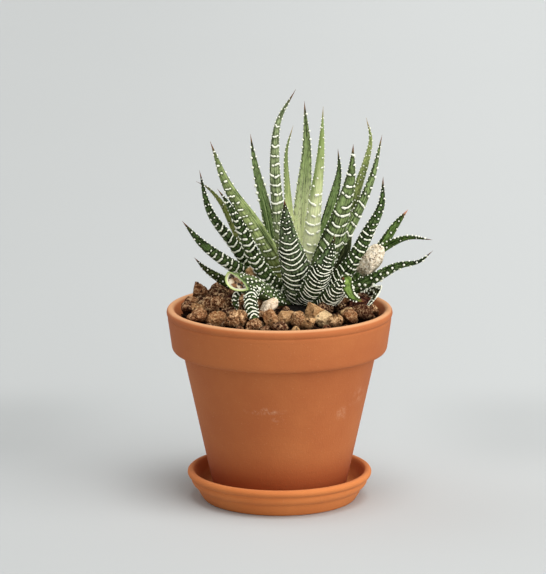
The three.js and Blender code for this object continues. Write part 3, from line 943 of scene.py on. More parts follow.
@dataclass
class Leaf:
    """One succulent leaf: flat inside, round at the back, with raised white marks.

    inner is where its flat side faces, full how long it keeps its width, and spine runs from foot
    to tip. plump and fold are how thick it is and how deep its inside is creased, half_round is
    how many points lie along one side of a ring, and marked is the side that carries the marks.
    """

    name: str
    finish: str
    width: float
    full: float
    inner: Point
    marks: Marks
    spine: tuple[Point, ...]
    plump: float = 1.0
    fold: float = 0.0
    half_round: int = 15
    marked: Face = Face.BACK
    seed: int = field(init=False)

    RINGS = 84
    SWEEP = 0.5
    FINEST = 0.07
    LAST_ROW = 0.965
    EDGE_DEPTH = 0.2
    BACK_BULGE = 0.62
    INSIDE_BULGE = 0.15
    CREASE_WIDTH = 0.24
    MARK_HEIGHT = 0.12

    def __post_init__(self) -> None:
        """Measures the spine and takes a seed from the name."""
        self.line = Spine(self.spine)
        self.seed = sum(ord(letter) * (i + 3) for i, letter in enumerate(self.name)) % 997

    def half(self, share: np.ndarray) -> np.ndarray:
        """Gives half of the width.

        Args:
            share: Shares of the length.

        Returns:
            The half width at each.
        """
        taper = (1 - np.clip(share, 0, 1) ** self.full) * (0.8 + 0.2 * smooth(share, 0, 0.2))
        wander = 1 + 0.03 * drift(share * 9, self.seed)
        return np.maximum(self.width / 2 * taper * wander, self.FINEST)

    def rows_at(self) -> np.ndarray:
        """Spaces the rows of marks, not quite evenly.

        Returns:
            The shares of the length at which they lie.
        """
        draw, count = random.Random(self.seed), self.marks.rows
        places = [(k + 0.5 + 0.24 * (draw.random() - 0.5)) / count for k in range(count)]
        return np.array([mix(self.marks.start, self.LAST_ROW, place) for place in places])

    def place(self, share: np.ndarray, across: np.ndarray, face: Face) -> np.ndarray:
        """Finds points on the skin.

        Args:
            share: The share of the length from the foot.
            across: From -1 at one edge to 1 at the other.
            face: Which side.

        Returns:
            The points, in millimetres.
        """
        along = self.line.heading(share)
        side = unit(np.cross(along, np.array(self.inner)))
        front = np.cross(side, along)
        half = self.half(share)
        rim = np.clip(1 - np.abs(across) ** 2.2, 0, 1)
        if face is Face.BACK:
            back = self.BACK_BULGE * rim**0.62 - self.EDGE_DEPTH
        else:
            crease = self.fold * np.exp(-((across / self.CREASE_WIDTH) ** 2)) * rim
            back = -self.EDGE_DEPTH - self.INSIDE_BULGE * rim**0.8 + crease
        fade = smooth(share, 0, 0.08) * (1 - smooth(share, 0.8, 1))
        place = self.line.at(share) + side * (across * half)[:, None]
        place = place - front * (back * half * self.plump)[:, None]
        return place + along * (self.SWEEP * across**2 * half * fade)[:, None]

    def loop(self) -> tuple[np.ndarray, np.ndarray]:
        """Lays out one ring, along the back and then along the inside.

        Returns:
            The place across of each of its points, and 1 for those on the inside.
        """
        across = -np.cos(np.linspace(0, math.pi, self.half_round))
        inside = np.arange(2 * self.half_round - 2) >= self.half_round
        return np.concatenate([across, across[-2:0:-1]]), inside.astype(float)

    def body(self, share: np.ndarray) -> tuple[list[np.ndarray], dict[str, np.ndarray]]:
        """Lays the rings of the leaf's body.

        Args:
            share: The share of the length at each point, a row for a ring.

        Returns:
            The rings, and the numbers that their points carry.
        """
        flat = share.ravel()
        across, inside = (np.tile(row, len(share)) for row in self.loop())
        outer, within = (self.place(flat, across, face) for face in Face)
        points = np.where(inside[:, None] > 0, within, outer).reshape(*share.shape, 3)
        run, none = flat * self.line.length, np.zeros(len(flat))
        table = {"share": flat, "across": across, "inside": inside, "run": run, "welt": none}
        return list(points), table

    def skin(self) -> tuple[np.ndarray, Faces, dict[str, np.ndarray]]:
        """Builds the body of the leaf, with finer rings at the rows of marks.

        Returns:
            Its points, faces and the numbers that they carry.
        """
        rows, length = self.rows_at(), self.line.length
        near_rows = np.clip((rows[:, None] + np.array((-1.1, -0.5, 0, 0.5, 1.1)) / length).ravel(), 0, 1)
        even = np.linspace(0, 1, self.RINGS) ** 0.94
        shares = np.unique(np.round(np.concatenate([even, near_rows]), 3))
        rings, table = self.body(np.repeat(shares[:, None], 2 * self.half_round - 2, 1))
        gap = np.min(np.abs(rows - shares[:, None]), axis=1) * length
        raised = np.exp(-((gap / 0.55) ** 2)) * (shares < self.marks.merged + 0.1)
        table["welt"] = (1 - table["inside"]) * np.repeat(raised, len(rings[0]))
        places, faces = capped(rings, *self.line.at(np.array([0.0, 1.0])))
        return places, faces, {key: np.append(row, (0, key == "share")) for key, row in table.items()}

    def pearls(self) -> Beads:
        """Lays out the white marks as beads: runs of them make the bands.

        Returns:
            The places, the turns (as angles about X, Y and Z) and the half lengths of the beads.
        """
        draw = random.Random(self.seed * 7 + 1)
        spots: list[Bead] = []
        for k, share in enumerate(self.rows_at()):
            arc = 2.25 * float(self.half(np.array([share]))[0])
            past = share - self.marks.merged
            if past < 0:
                spots += self.bar(draw, share, arc, 1.0)
            elif past < 0.12 and draw.random() < 0.6:
                spots += self.bar(draw, share, arc, 0.55)
            else:
                spots += self.row(draw, share, arc, k % 2 == 1)
        table = np.array(spots + self.teeth(draw))
        return self.rest_on_skin(table[:, 0], table[:, 1], table[:, 2:])

    def bar(self, draw: random.Random, share: float, arc: float, whole: float) -> list[Bead]:
        """Makes one band of beads that run together.

        Args:
            draw: The source of chance.
            share: Where along the leaf the band lies.
            arc: How long the whole back is there, in millimetres.
            whole: How much of the back it covers.

        Returns:
            For each bead its share, its place across and its three half lengths.
        """
        marks = self.marks
        reach = marks.reach * whole
        left = -reach * (1 - marks.spare * draw.random() ** 2)
        right = reach * (1 - marks.spare * draw.random() ** 2)
        if marks.one_side:
            left = reach * mix(0.05, 0.5, draw.random())
        pace = max(marks.thick * 1.25, 0.34)
        count = max(int((right - left) / 2 * arc / pace), 2)
        phase, skip, spots = draw.random() * 6, 0, []
        for i in range(count + 1):
            across = mix(left, right, i / count)
            if skip > 0:
                skip -= 1
                continue
            if draw.random() < marks.gaps / count * 3:
                skip = draw.randint(1, 2)
            wave = 0.26 * math.sin(across * 3.4 + phase) + 0.08 * math.sin(across * 9 + phase * 2)
            ends = (1 - 0.35 * abs(across / reach) ** 4) * (0.62 + 0.38 * smooth(share, 0.02, 0.3))
            thick = marks.thick * (0.78 + 0.5 * draw.random()) * ends
            level = share + wave / self.line.length
            spots.append((level, across, pace * 1.05, thick, thick * 0.85))
        return spots

    def row(self, draw: random.Random, share: float, arc: float, odd: bool) -> list[Bead]:
        """Makes one row of single pearls.

        Args:
            draw: The source of chance.
            share: Where along the leaf the row lies.
            arc: How long the whole back is there, in millimetres.
            odd: Whether a short row is shifted one way instead of the other.

        Returns:
            The beads, as a band's are.
        """
        marks = self.marks
        count = int(min(marks.most, max(1, arc / (marks.pearl * 4.2))))
        spots = []
        for i in range(count):
            if draw.random() < 0.12 and count > 1:
                continue
            shift = (0.25 if odd else -0.25) * (count < 3 or marks.merged == 0)
            across = ((i + 0.5 + shift) / count * 2 - 1) * marks.reach * 0.95
            across += 0.16 * (draw.random() - 0.5)
            size = marks.pearl * (0.72 + 0.5 * draw.random()) * min(1.0, 0.35 + arc / 6)
            level = share + 0.7 * (draw.random() - 0.5) / self.line.length
            spots.append((level, across, size * 1.12, size * 0.95, size * 0.8))
        return spots

    def teeth(self, draw: random.Random) -> list[Bead]:
        """Makes the small teeth along both edges.

        Args:
            draw: The source of chance.

        Returns:
            The beads, as a band's are.
        """
        marks, spots = self.marks, []
        for across in (-0.995, 0.995):
            place = 4 + marks.teeth * draw.random()
            while place < self.line.length * 0.94:
                size = marks.tooth * (0.7 + 0.6 * draw.random())
                spots.append((place / self.line.length, across, size, size * 1.15, size))
                place += marks.teeth * (0.7 + 0.6 * draw.random())
        return spots

    def rest_on_skin(self, share: np.ndarray, across: np.ndarray, sizes: np.ndarray) -> Beads:
        """Sets beads on the marked side so that each lies along its band.

        Args:
            share: Their shares of the length.
            across: Their places across.
            sizes: Their half lengths along the band, along the leaf and out of it.

        Returns:
            Their places, turns and half lengths.
        """
        share = np.clip(share, 0.01, 0.985)
        near = np.clip(across, -0.93, 0.93)
        shifts = ((0, 0.03), (0, -0.03), (0.006, 0), (-0.006, 0))
        right, left, above, below = (self.place(share + s, near + a, self.marked) for s, a in shifts)
        spot, way = self.place(share, across, self.marked), unit(right - left)
        out = unit(np.cross(way, above - below))
        out *= np.sign(np.sum(out * (spot - self.line.at(share)), axis=1, keepdims=True))
        axes = zip(way, np.cross(out, way), out)
        turns = [tuple(Matrix(three).transposed().to_euler()) for three in axes]
        return spot + out * sizes[:, 2:3] * self.MARK_HEIGHT, np.array(turns), sizes

    def build(self, skin: Material, tree: NodeGroup) -> Thing:
        """Makes the leaf with its white marks as one mesh.

        Args:
            skin: The material of its body.
            tree: The tree that sets the beads.

        Returns:
            The leaf.
        """
        points, faces, numbers = self.skin()
        spots, turns, sizes = self.pearls()
        body, beads = np.zeros(len(points)), np.zeros(len(spots))
        gaps = np.array([np.min(np.linalg.norm(spots - point, axis=1)) for point in points])
        table = {key: np.append(rows, beads) for key, rows in numbers.items()}
        table["seed"] = np.append(body, beads) + self.seed / 97
        # How near each point of the skin lies to a bead, for the painted shade round the white marks.
        table["shade_round_marks"] = np.append(1 - smooth(gaps, 0.55, 1.5), beads)
        table["bead"] = np.append(body, beads + 1)
        table["bead_turn"] = np.vstack([np.zeros((len(points), 3)), turns])
        table["bead_size"] = np.vstack([np.ones((len(points), 3)), sizes])
        return tree.dress(mesh_object(self.name, np.vstack([points, spots]), faces, skin, table))


def pearl_tree(white: Material) -> NodeGroup:
    """Builds the tree that puts a bead at each loose point of a leaf.

    Args:
        white: What the beads are made of.

    Returns:
        The tree.
    """
    group = NodeGroup("white_marks", Bead_sides=7, Bead_rings=4, Bead_size=MM)
    above = {"operation": "GREATER_THAN"}
    picked = group.node("FunctionNodeCompare", above, i0=group.read("bead"), i1=0.5).outputs[0]
    whole = group.start.outputs[0]
    parts = group.node("GeometryNodeSeparateGeometry", {"domain": "POINT"}, i0=whole, i1=picked)
    ball = group.node(
        "GeometryNodeMeshUVSphere",
        Segments=group.size("Bead_sides"),
        Rings=group.size("Bead_rings"),
        Radius=group.size("Bead_size"),
    )
    round_off = group.node("GeometryNodeSetShadeSmooth", Geometry=ball.outputs["Mesh"])
    set_out = group.node(
        "GeometryNodeInstanceOnPoints",
        Points=parts.outputs["Selection"],
        Instance=round_off.outputs[0],
        Rotation=group.read("bead_turn", "FLOAT_VECTOR"),
        Scale=group.read("bead_size", "FLOAT_VECTOR"),
    )
    group.close(set_out, parts.outputs["Inverted"], Selection=picked, Material=white)
    return group


@dataclass
class CutLeaf(Leaf):
    """A leaf that was cut through across cut_faces at cut_at, with its end dried to a hollow."""

    cut_at: Point = (0.0, 0.0, 0.0)
    cut_faces: Point = (0.0, 0.0, 1.0)
    depth: float = 3.4

    CAP = ((0.965, 0.2, 0.05), (0.9, 0.12, 0.14), (0.84, -0.25, 0.24), (0.78, -0.8, 0.36))
    HOLLOW = ((0.68, -0.5, 0.5), (0.5, -0.78, 0.68), (0.3, -0.94, 0.84), (0.1, -1.0, 0.97))
    BARE = 0.9

    def beyond(self, points: np.ndarray) -> np.ndarray:
        """Returns how far points lie past the cut, in millimetres."""
        return (points - np.array(self.cut_at)) @ unit(np.array(self.cut_faces))

    def cut_share(self, across: np.ndarray, face: Face) -> np.ndarray:
        """Finds where lines along the leaf meet the cut, by halving.

        Args:
            across: The place of each line across the leaf.
            face: Which side they run on.

        Returns:
            The share of the length for each.
        """
        low, high = np.full(len(across), 0.3), np.full(len(across), 0.99)
        for _ in range(26):
            middle = (low + high) / 2
            past = self.beyond(self.place(middle, across, face)) > 0
            high, low = np.where(past, middle, high), np.where(past, low, middle)
        return low

    def skin(self) -> tuple[np.ndarray, Faces, dict[str, np.ndarray]]:
        """Builds the body up to the cut, and then the cut end itself.

        Returns:
            Its points, faces and the numbers that they carry.
        """
        loop, inside = self.loop()
        outer, within = (self.cut_share(loop, face) for face in Face)
        steps = np.linspace(0, 1, self.RINGS)[:, None]
        rings, table = self.body(np.where(inside > 0, within, outer) * steps)
        table["cut"] = np.zeros(self.RINGS * len(loop))
        rim = rings[-1]
        centre, facing = rim.mean(0), unit(np.array(self.cut_faces))
        for scale, lift, tone in (*self.CAP, *((s, d * self.depth, t) for s, d, t in self.HOLLOW)):
            crumple = 0.35 * np.sin(around(len(loop)) * 3 + tone * 5) * (tone > 0.3)
            rings.append(centre + (rim - centre) * scale + facing * (lift + crumple)[:, None])
            for key, row in table.items():
                table[key] = np.append(row, np.full(len(loop), tone * (key == "cut")))
        places, faces = capped(rings, self.line.at(np.array([0.0]))[0], rings[-1].mean(0))
        return places, faces, {key: np.append(row, (0, key == "cut")) for key, row in table.items()}

    def pearls(self) -> Beads:
        """Lays out the beads and drops those past the cut.

        Returns:
            The beads that are left, as a leaf's are.
        """
        beads = super().pearls()
        kept = self.beyond(beads[0]) < -self.BARE
        return tuple(rows[kept] for rows in beads)

    def open_end(self, piece: Thing, dried: Material) -> None:
        """Gives the faces of the cut end their own finish.

        Args:
            piece: The leaf as it was built.
            dried: The finish of the cut end.
        """
        mesh = piece.data
        mesh.materials.append(dried)
        tones = np.zeros(len(mesh.vertices), np.float32)
        mesh.attributes["cut"].data.foreach_get("value", tones)
        for face in mesh.polygons:
            if max(tones[i] for i in face.vertices) > 0.01:
                face.material_index = len(mesh.materials) - 1


def join(name: str, things: Sequence[Thing]) -> Thing:
    """Puts several objects together as one.

    Args:
        name: The name of the result.
        things: The objects, of which the first is kept.

    Returns:
        The one object.
    """
    first = things[0]
    with bpy.context.temp_override(
        active_object=first, object=first, selected_editable_objects=list(things)
    ):
        bpy.ops.object.join()
    first.name = name
    return first


@dataclass
class Stone:
    """One rough stone: sizes are whole lengths along, across and up, in millimetres.

    turn and tilt are in radians, and chips is how many flats are broken off. lot sets its tone,
    or chance does where it is None.
    """

    at: Point
    size: Point
    turn: float = 0.0
    tilt: float = 0.0
    seed: int = 0
    fineness: int = 4
    chips: int = 12
    lot: float | None = None

    LUMPS = ((0.08, 1.5), (0.06, 3.7), (0.045, 8.3))
    PITTING = 0.3

    def shape(self) -> tuple[np.ndarray, Faces]:
        """Breaks a ball into a stone.

        Returns:
            Its points, in place, and its faces.
        """
        draw = random.Random(self.seed)
        points, faces = ball_of(self.fineness)
        for _ in range(self.chips):
            way = np.array(Vector([draw.gauss(0, 1) for _ in range(3)]).normalized())
            past = np.maximum(points @ way - (0.54 + 0.3 * draw.random()), 0)
            points = points - past[:, None] * way * 0.95
        shift = Vector((draw.random() * 50, draw.random() * 50, draw.random() * 50))
        stretch = np.ones(len(points))
        for i, spot in enumerate(points):
            p = Vector(spot)
            stretch[i] += sum(size * noise.noise(p * pace + shift) for size, pace in self.LUMPS)
            stretch[i] -= max(noise.noise(p * 5.6 + shift) - 0.15, 0) * self.PITTING
        points = points * stretch[:, None] * (np.array(self.size) / 2 * 1.16)
        spin = Matrix.Rotation(self.turn, 3, "Z") @ Matrix.Rotation(-self.tilt, 3, "Y")
        return points @ np.array(spin).T + np.array(self.at), faces


BALLS: dict[int, tuple[np.ndarray, Faces]] = {}


def ball_of(fineness: int) -> tuple[np.ndarray, Faces]:
    """Makes an even ball of radius 1.

    Args:
        fineness: How often its faces are split.

    Returns:
        Its points and faces.
    """
    if fineness not in BALLS:
        bpy.ops.mesh.primitive_ico_sphere_add(subdivisions=fineness, radius=1.0)
        thing = bpy.context.object
        points = np.array([v.co[:] for v in thing.data.vertices])
        BALLS[fineness] = (points, [tuple(f.vertices) for f in thing.data.polygons])
        bpy.data.objects.remove(thing, do_unlink=True)
    return BALLS[fineness]


def heap(name: str, stones: Sequence[Stone], material: Material) -> Thing:
    """Makes several stones as one mesh, each with its own lot number for its colour.

    Args:
        name: The name of the object.
        stones: The stones.
        material: What they are made of.

    Returns:
        The heap.
    """
    points, faces, lots, lows, start = [], [], [], [], 0
    for stone in stones:
        places, rounds = stone.shape()
        points.append(places)
        faces += [tuple(start + i for i in face) for face in rounds]
        lot = random.Random(stone.seed * 13 + 5).random() if stone.lot is None else stone.lot
        lots.append(np.full(len(places), lot))
        # How far each point lies below the stone's middle, for the painted shade on its underside.
        lows.append((stone.at[2] - places[:, 2]) / np.ptp(places[:, 2]) * 2)
        start += len(places)
    table = {"lot": np.concatenate(lots), "low": np.concatenate(lows)}
    return mesh_object(name, np.vstack(points), faces, material, table)


POT_BASE = 4.6
POT_FLOOR = 5.0
POT_WALL = 4.6
POT_RADII = (29.6, 42.9)
COLLAR_BOTTOM = 66.7
SOIL_SHOULDER = 74
GAP = 0.3
SOIL_EDGE = 78.5
SOIL_TOP = 85.0
STEM_CENTRE = (11.0, 3.0)
CROWN_RADIUS = 10.0
BARE_SPOT = (7.0, -13.0, 7.0)


def pot_inside(height: float) -> float:
    """Returns the inside radius of the pot at a height."""
    return mix(*POT_RADII, (height - POT_BASE) / (COLLAR_BOTTOM - POT_BASE)) - POT_WALL


SOIL_RADIUS = pot_inside(SOIL_SHOULDER) - GAP


def mound(radius: Number) -> Number:
    """Returns the height of the soil at a distance from the pot's middle."""
    heights = (SOIL_TOP, SOIL_TOP - 0.4, mix(SOIL_EDGE, SOIL_TOP, 0.7), SOIL_EDGE)
    return np.interp(radius, (0, 14, 28, SOIL_RADIUS), heights)


def from_stem(x: Number, y: Number) -> Number:
    """Returns how far places in the pot are from the stem."""
    return np.hypot(x - STEM_CENTRE[0], y - STEM_CENTRE[1])


def lumps(ring: np.ndarray, pace: float, level: float) -> np.ndarray:
    """Gives slow noise over the pot.

    Args:
        ring: The points, of which only x and y count.
        pace: How fast it changes, in lumps to the millimetre.
        level: Which of many noises it is.

    Returns:
        A number for each point, about 0.
    """
    return np.array([noise.noise(Vector((x * pace, y * pace, level))) for x, y in ring[:, :2]])


@dataclass
class Clay:
    """The pot and the saucer it stands in: profiles, and lime patches by middle, reach, strength."""

    blooms: tuple[tuple[Point, Point, float], ...] = (
        ((-6.5, -38.5, 48.2), (12.0, 8.0, 2.4), 0.5),
        ((-1.0, -38.0, 44.5), (4.0, 6.0, 1.6), 0.3),
        ((28.5, -27.0, 45.0), (6.5, 9.0, 5.5), 0.24),
        ((34.5, -18.0, 51.0), (5.0, 9.0, 7.0), 0.18),
    )
    pot_profile: tuple[tuple[float, float], ...] = (
        (6.0, 4.6), (28.8, 4.6), (29.6, 5.5), (42.9, 66.7), (46.6, 67.0), (47.6, 68.3), (49.5, 82.0),
        (49.2, 82.6), (49.8, 83.2), (50.0, 84.5), (49.6, 85.7), (48.8, 86.3), (47.7, 86.4),
        (46.7, 85.8), (45.7, 84.2), (40.6, 74.0), (26.2, 10.6), (24.7, 9.6), (6.0, 9.6), (6.0, 4.6),
    )
    saucer_profile: tuple[tuple[float, float], ...] = (
        (0.0, 0.0), (33.9, 0.0), (34.5, 0.7), (35.9, 3.0), (36.9, 5.3), (38.5, 6.4), (39.3, 8.0),
        (39.0, 9.4), (40.7, 10.3), (41.1, 11.6), (40.6, 12.7), (39.6, 13.1), (38.4, 12.9),
        (37.7, 11.9), (36.5, 8.0), (34.7, 5.2), (32.7, 4.3), (0.0, 4.3),
    )

    def build(self) -> None:
        """Turns and finishes both pieces."""
        # The saucer's lip gets a weaker painted highlight and no painted shade at its foot.
        rim_highlight_height = {"rim_highlight_height": 12.4, "bounce_shade_height": 0.0, "lip": 0.15}
        saucer = Terracotta("terracotta_saucer", tint(196, 111, 52), tint(203, 121, 61), **rim_highlight_height)
        pot = Terracotta("terracotta_pot", tint(171, 92, 43), tint(180, 103, 52), self.blooms)
        Lathe("saucer_clay", "saucer", saucer, self.saucer_profile).build()
        Lathe("pot_clay", "pot", pot, self.pot_profile).build()


@dataclass
class Soil:
    """The soil that fills the pot, heaped in the middle, with a dip round the stem."""

    steps: int = 150
    rings: int = 52
    dip: float = 1.9
    hill: float = 4.8

    def build(self) -> None:
        """Builds the soil with its crumbly top."""
        low = POT_BASE + POT_FLOOR + GAP
        sides = [(pot_inside(low) - GAP - 1.5, low), (pot_inside(low + 1.2) - GAP, low + 1.2)]
        sides += [(SOIL_RADIUS, SOIL_SHOULDER - 0.4), (SOIL_RADIUS, SOIL_EDGE)]
        rings = [circle(radius, height, self.steps) for radius, height in sides]
        for radius in np.linspace(SOIL_RADIUS, 0.4, self.rings)[1:]:
            rings.append(self.roughen(circle(radius, mound(radius), self.steps)))
        places, faces = capped(rings, (0, 0, low), rings[-1].mean(0))
        settle(mesh_object("soil_crumb", places, faces, PottingSoil().material()), "soil", "soil")

    def roughen(self, ring: np.ndarray) -> np.ndarray:
        """Gives one ring of the soil's top its unevenness.

        Args:
            ring: Its points.

        Returns:
            The points, moved up or down.
        """
        x, y, height = ring.T
        stem = from_stem(x, y)
        dip = self.dip * (1 - smooth(stem, CROWN_RADIUS - 2.5, CROWN_RADIUS))
        bare = np.hypot(x - BARE_SPOT[0], y - BARE_SPOT[1] - 1.5)
        hill = self.hill * (1 - smooth(bare, 3.5, 11)) * (stem > 5)
        rough = lumps(ring, 0.45, 3) * 0.5 + lumps(ring, 1.3, 9) * 0.3
        return np.stack([x, y, height - dip + hill + rough - 0.3], 1)


PUMICE, TAN, RED = ("pumice", "pumice"), ("tan", "lava_tan"), ("red", "lava_red")


@dataclass
class Gravel:
    """The top dressing: brown lava, tan, reddish and pale stones, and the crumbs between them.

    shown are the stones that stand out by place, each with its middle, size, turn, tilt and lot,
    and named those that are pieces of their own, with middle, size, turn, tilt, finish and slot.
    """

    shown: tuple[tuple, ...] = (
        ((-35.6, 15.6, 89.6), (8.4, 8, 8.8), 0.4, 0.3, 0.47),
        ((-27.9, 15.7, 88.4), (8.4, 8, 8.4), 1.0, 0.1, 0.22),
        ((-31, 0.5, 88), (8.6, 8, 7), 0.2, 0.2, 0.5),
        ((-40.4, -5.6, 87.4), (6.4, 7, 6.2), 0.6, 0.2, 0.3),
        ((-36, -19.6, 86.4), (8.4, 8, 6.8), 1.2, 0.1, 0.62),
        ((-21.4, -18.5, 87.4), (10.4, 6.5, 4.8), 0.1, 0.15, 0.08),
        ((-19.3, -31.2, 87.2), (11, 9, 8.4), 0.3, 0.1, 0.78),
        ((-11.6, -35, 85.4), (7.8, 6.6, 6.6), 0.8, 0, 0.64),
        ((-3.3, -31.4, 87.2), (8.2, 8, 8.8), 0.1, 0.05, 0.73),
        ((2.6, -29.4, 87.8), (9, 8, 8.4), 0.8, -0.1, 0.87),
        ((8, -33.4, 87.2), (7.6, 7.2, 7.6), 0.5, 0.1, 0.76),
        ((12.6, -34.8, 86.6), (6.6, 6, 5.4), 0.4, 0, 0.98),
        ((24.7, -31.2, 87), (6.4, 6, 6), 0.7, 0, 0.92),
        ((30.6, -24.4, 87.6), (7, 7, 7.4), 0.2, 0.1, 0.6),
        ((36.7, -17.3, 88), (8.6, 8, 8.6), 0.2, 0.2, 0.2),
        ((40.8, -12.2, 88), (5.6, 5.6, 5.4), 0.3, 0, 0.52),
        ((27.6, -11, 88), (5, 5, 6), 0.3, 0, 0.1),
        ((-21.9, -1.3, 88), (7, 6, 5), 0.2, 0, 0.36),
        ((-25.5, 8.1, 88.5), (5, 5, 5), 0.6, 0, 0.24),
        ((-38.8, 2, 87.6), (6.4, 6, 5.6), 0.9, 0, 0.62),
        ((-25, 26, 87.6), (11, 9, 11), 0.1, 0.1, 0.3),
    )
    named: tuple[tuple, ...] = (
        ("pebble_pumice_right", (39.4, -4.6, 108.2), (14.6, 9, 8.8), 0.1, 0.92, PUMICE),
        ("pebble_cream_front", (-5.2, -20, 90.4), (11, 6.4, 5.8), 0.3, 0.95, ("cream", "pumice")),
        ("pebble_brown_caught", (-13, -5, 102.5), (5.5, 4.5, 5), 0.3, 0.2, TAN),
        ("pebble_tan_front", (15.2, -23.4, 89), (12.2, 8.8, 9), -0.2, -0.6, TAN),
        ("pebble_tan_front_right", (19.4, -27.5, 86.2), (8, 8, 8.4), 0.9, 0.2, TAN),
        ("pebble_tan_right", (30, -18, 86), (8, 8, 9), 0.2, 0, TAN),
        ("pebble_tan_left", (-35, -6, 85), (10, 9, 9.6), 0.2, 0.1, TAN),
        ("pebble_tan_left_front", (-28, -22, 85), (10, 9, 9), 1.1, 0, TAN),
        ("pebble_red_left", (-23, 1, 87), (9, 8, 8), 0.5, 0, RED),
        ("pebble_red_right", (35, -3, 87), (10, 9, 9), 0.3, 0, RED),
    )

    FINER = range(6, 13)
    STREWN = 43.6
    WALL = (44.4, 43.0)
    STEM_ROOM = 9.5
    CLOSENESS = 0.86
    CAUGHT = 95
    BED_FOOT = (39.4, 76.4)
    BED_EDGE = 43.2
    BED_STEPS = 120
    BED_RINGS = 34

    def scatter(
        self, lying: list[Point], tries: int, sizes: tuple[float, float], seed: int
    ) -> list[Stone]:
        """Drops stones where there is still room for them.

        Args:
            lying: Place and reach of what lies there already, which the new stones are added to.
            tries: How many places are tried.
            sizes: The smallest and the largest size.
            seed: The source of chance.

        Returns:
            The new stones.
        """
        draw = random.Random(seed)
        stones: list[Stone] = []
        for step in range(tries):
            radius, angle = self.STREWN * math.sqrt(draw.random()), 2 * math.pi * draw.random()
            x, y = radius * math.cos(angle), radius * math.sin(angle)
            size = mix(sizes[1], sizes[0], step / tries) * (0.88 + 0.24 * draw.random())
            turn, tilt, lift = math.pi * draw.random(), 0.9 * (draw.random() - 0.5), draw.random()
            near_bare = math.hypot(x - BARE_SPOT[0], y - BARE_SPOT[1]) < BARE_SPOT[2] + size * 0.4
            near_wall = radius + size * 0.5 > mix(*self.WALL, size / 10)
            if near_bare or near_wall or from_stem(x, y) < self.STEM_ROOM + size / 2:
                continue
            gaps = (math.hypot(px - x, py - y) / (reach + size / 2) for px, py, reach in lying)
            if any(gap < self.CLOSENESS for gap in gaps):
                continue
            height = mound(radius) + 1.7 + size * (0.34 + 0.1 * lift) + 1.3 * smooth(radius, 28, 40)
            whole = (size, size * (0.8 + 0.15 * draw.random()), size * 0.82)
            lot = draw.random() * (1.0 if size > 5.5 else 0.45)
            number, fine = seed * 100 + len(stones), 4 if size > 6.6 else 3
            stones.append(Stone((x, y, height), whole, turn, tilt, number, fine, lot=lot))
            lying.append((x, y, size / 2))
        return stones

    def crumbs(self, material: Material) -> Thing:
        """Builds the bed of fine crumbs that the stones lie in.

        Args:
            material: What the crumbs are made of.

        Returns:
            The bed.
        """
        steps = self.BED_STEPS
        rings, bare = [circle(*self.BED_FOOT, steps)], [np.zeros(steps)]
        for radius in np.linspace(self.BED_EDGE, 0.5, self.BED_RINGS):
            ring = circle(radius, mound(radius) - 1.3, steps)
            x, y = ring[:, 0], ring[:, 1]
            spot = np.hypot(x - BARE_SPOT[0], (y - BARE_SPOT[1]) * 1.25)
            hollow = smooth(spot, BARE_SPOT[2] - 2.5, BARE_SPOT[2] + 0.5)
            share = hollow * smooth(from_stem(x, y), CROWN_RADIUS - 1.5, CROWN_RADIUS + 1)
            rise = 3.6 * share + lumps(ring, 0.5, 7) * 0.6 + 1.2 * smooth(radius, 28, 40)
            rings.append(ring + np.outer(rise, (0, 0, 1)))
            bare.append(share)
        places, last = np.vstack(rings), len(rings) * steps
        numbers = {"density": np.concatenate(bare), "lot": np.full(last, 0.4)}
        faces = [tuple(reversed(range(steps))), *ring_faces(len(rings), steps)]
        faces.append(tuple(range(last - steps, last)))
        bed = mesh_object("crumbs", places, faces, material, numbers)
        return crumb_tree(material).dress(bed, Largest=1.3, Smallest=0.45)

    def build(self) -> None:
        """Builds every stone."""
        dark, cream = tint(24, 13, 9), tint(104, 74, 50)
        red, umber, ochre = tint(56, 26, 18), tint(90, 52, 33), tint(134, 88, 55)
        sand, straw = tint(182, 142, 98), tint(218, 188, 144)
        brown = Lava("lava_brown", (red, umber, ochre, sand), tint(232, 196, 152), dark)
        shell, milk, ivory = tint(230, 214, 186), tint(250, 242, 222), tint(255, 250, 238)
        rust, peach = (tint(52, 26, 22), tint(92, 50, 40)), (tint(236, 210, 178), milk)
        finishes = {
            "tan": Lava("lava_tan", (ochre, sand, straw), tint(232, 202, 152), dark, 0.7, 520, 0.45),
            "red": Lava("lava_red", rust, tint(150, 100, 80), dark),
            "pumice": Lava("pumice", (shell, milk), ivory, cream, 1.0, 760, 0.6, 0.15),
            "cream": Lava("cream_stone", peach, ivory, cream, 0.6, 520, 0.4, 0.1),
        }
        made = {key: finish.material() for key, finish in finishes.items()}
        stones = []
        for i, (at, size, turn, tilt, lot) in enumerate(self.shown):
            stones.append(Stone(at, size, turn, tilt, 300 + i, 5 if i in self.FINER else 4, lot=lot))
        seen = [(*at[:2], sum(size[:2]) / 4) for at, size, *_ in self.shown]
        seen += [(*at[:2], sum(size[:2]) / 4) for _, at, size, *_ in self.named if at[2] < self.CAUGHT]
        stones += self.scatter(seen, 3000, (6.6, 10.5), 11)
        stones += self.scatter(seen, 5000, (2.8, 5.4), 23)
        # The crumb bed is painted near black, standing in for the shade between the stones; its paler
        # specks are the crumbs' own tone.
        dust = Lava("lava_crumbs_shaded", (tint(16, 9, 7), tint(44, 26, 18)), tint(92, 62, 42), dark)
        parts = [heap("gravel_lava", stones, brown.material()), self.crumbs(dust.material())]
        settle(join("gravel_lava", parts), "lava_brown", "gravel_brown")
        for i, (name, at, size, turn, tilt, (finish, slot)) in enumerate(self.named):
            chips, lot = (7, 0.13) if slot == "pumice" else (12, None)
            stone = Stone(at, size, turn, tilt, 100 + i, 5, chips, lot)
            settle(heap(f"{name}_rough", [stone], made[finish]), slot, name)


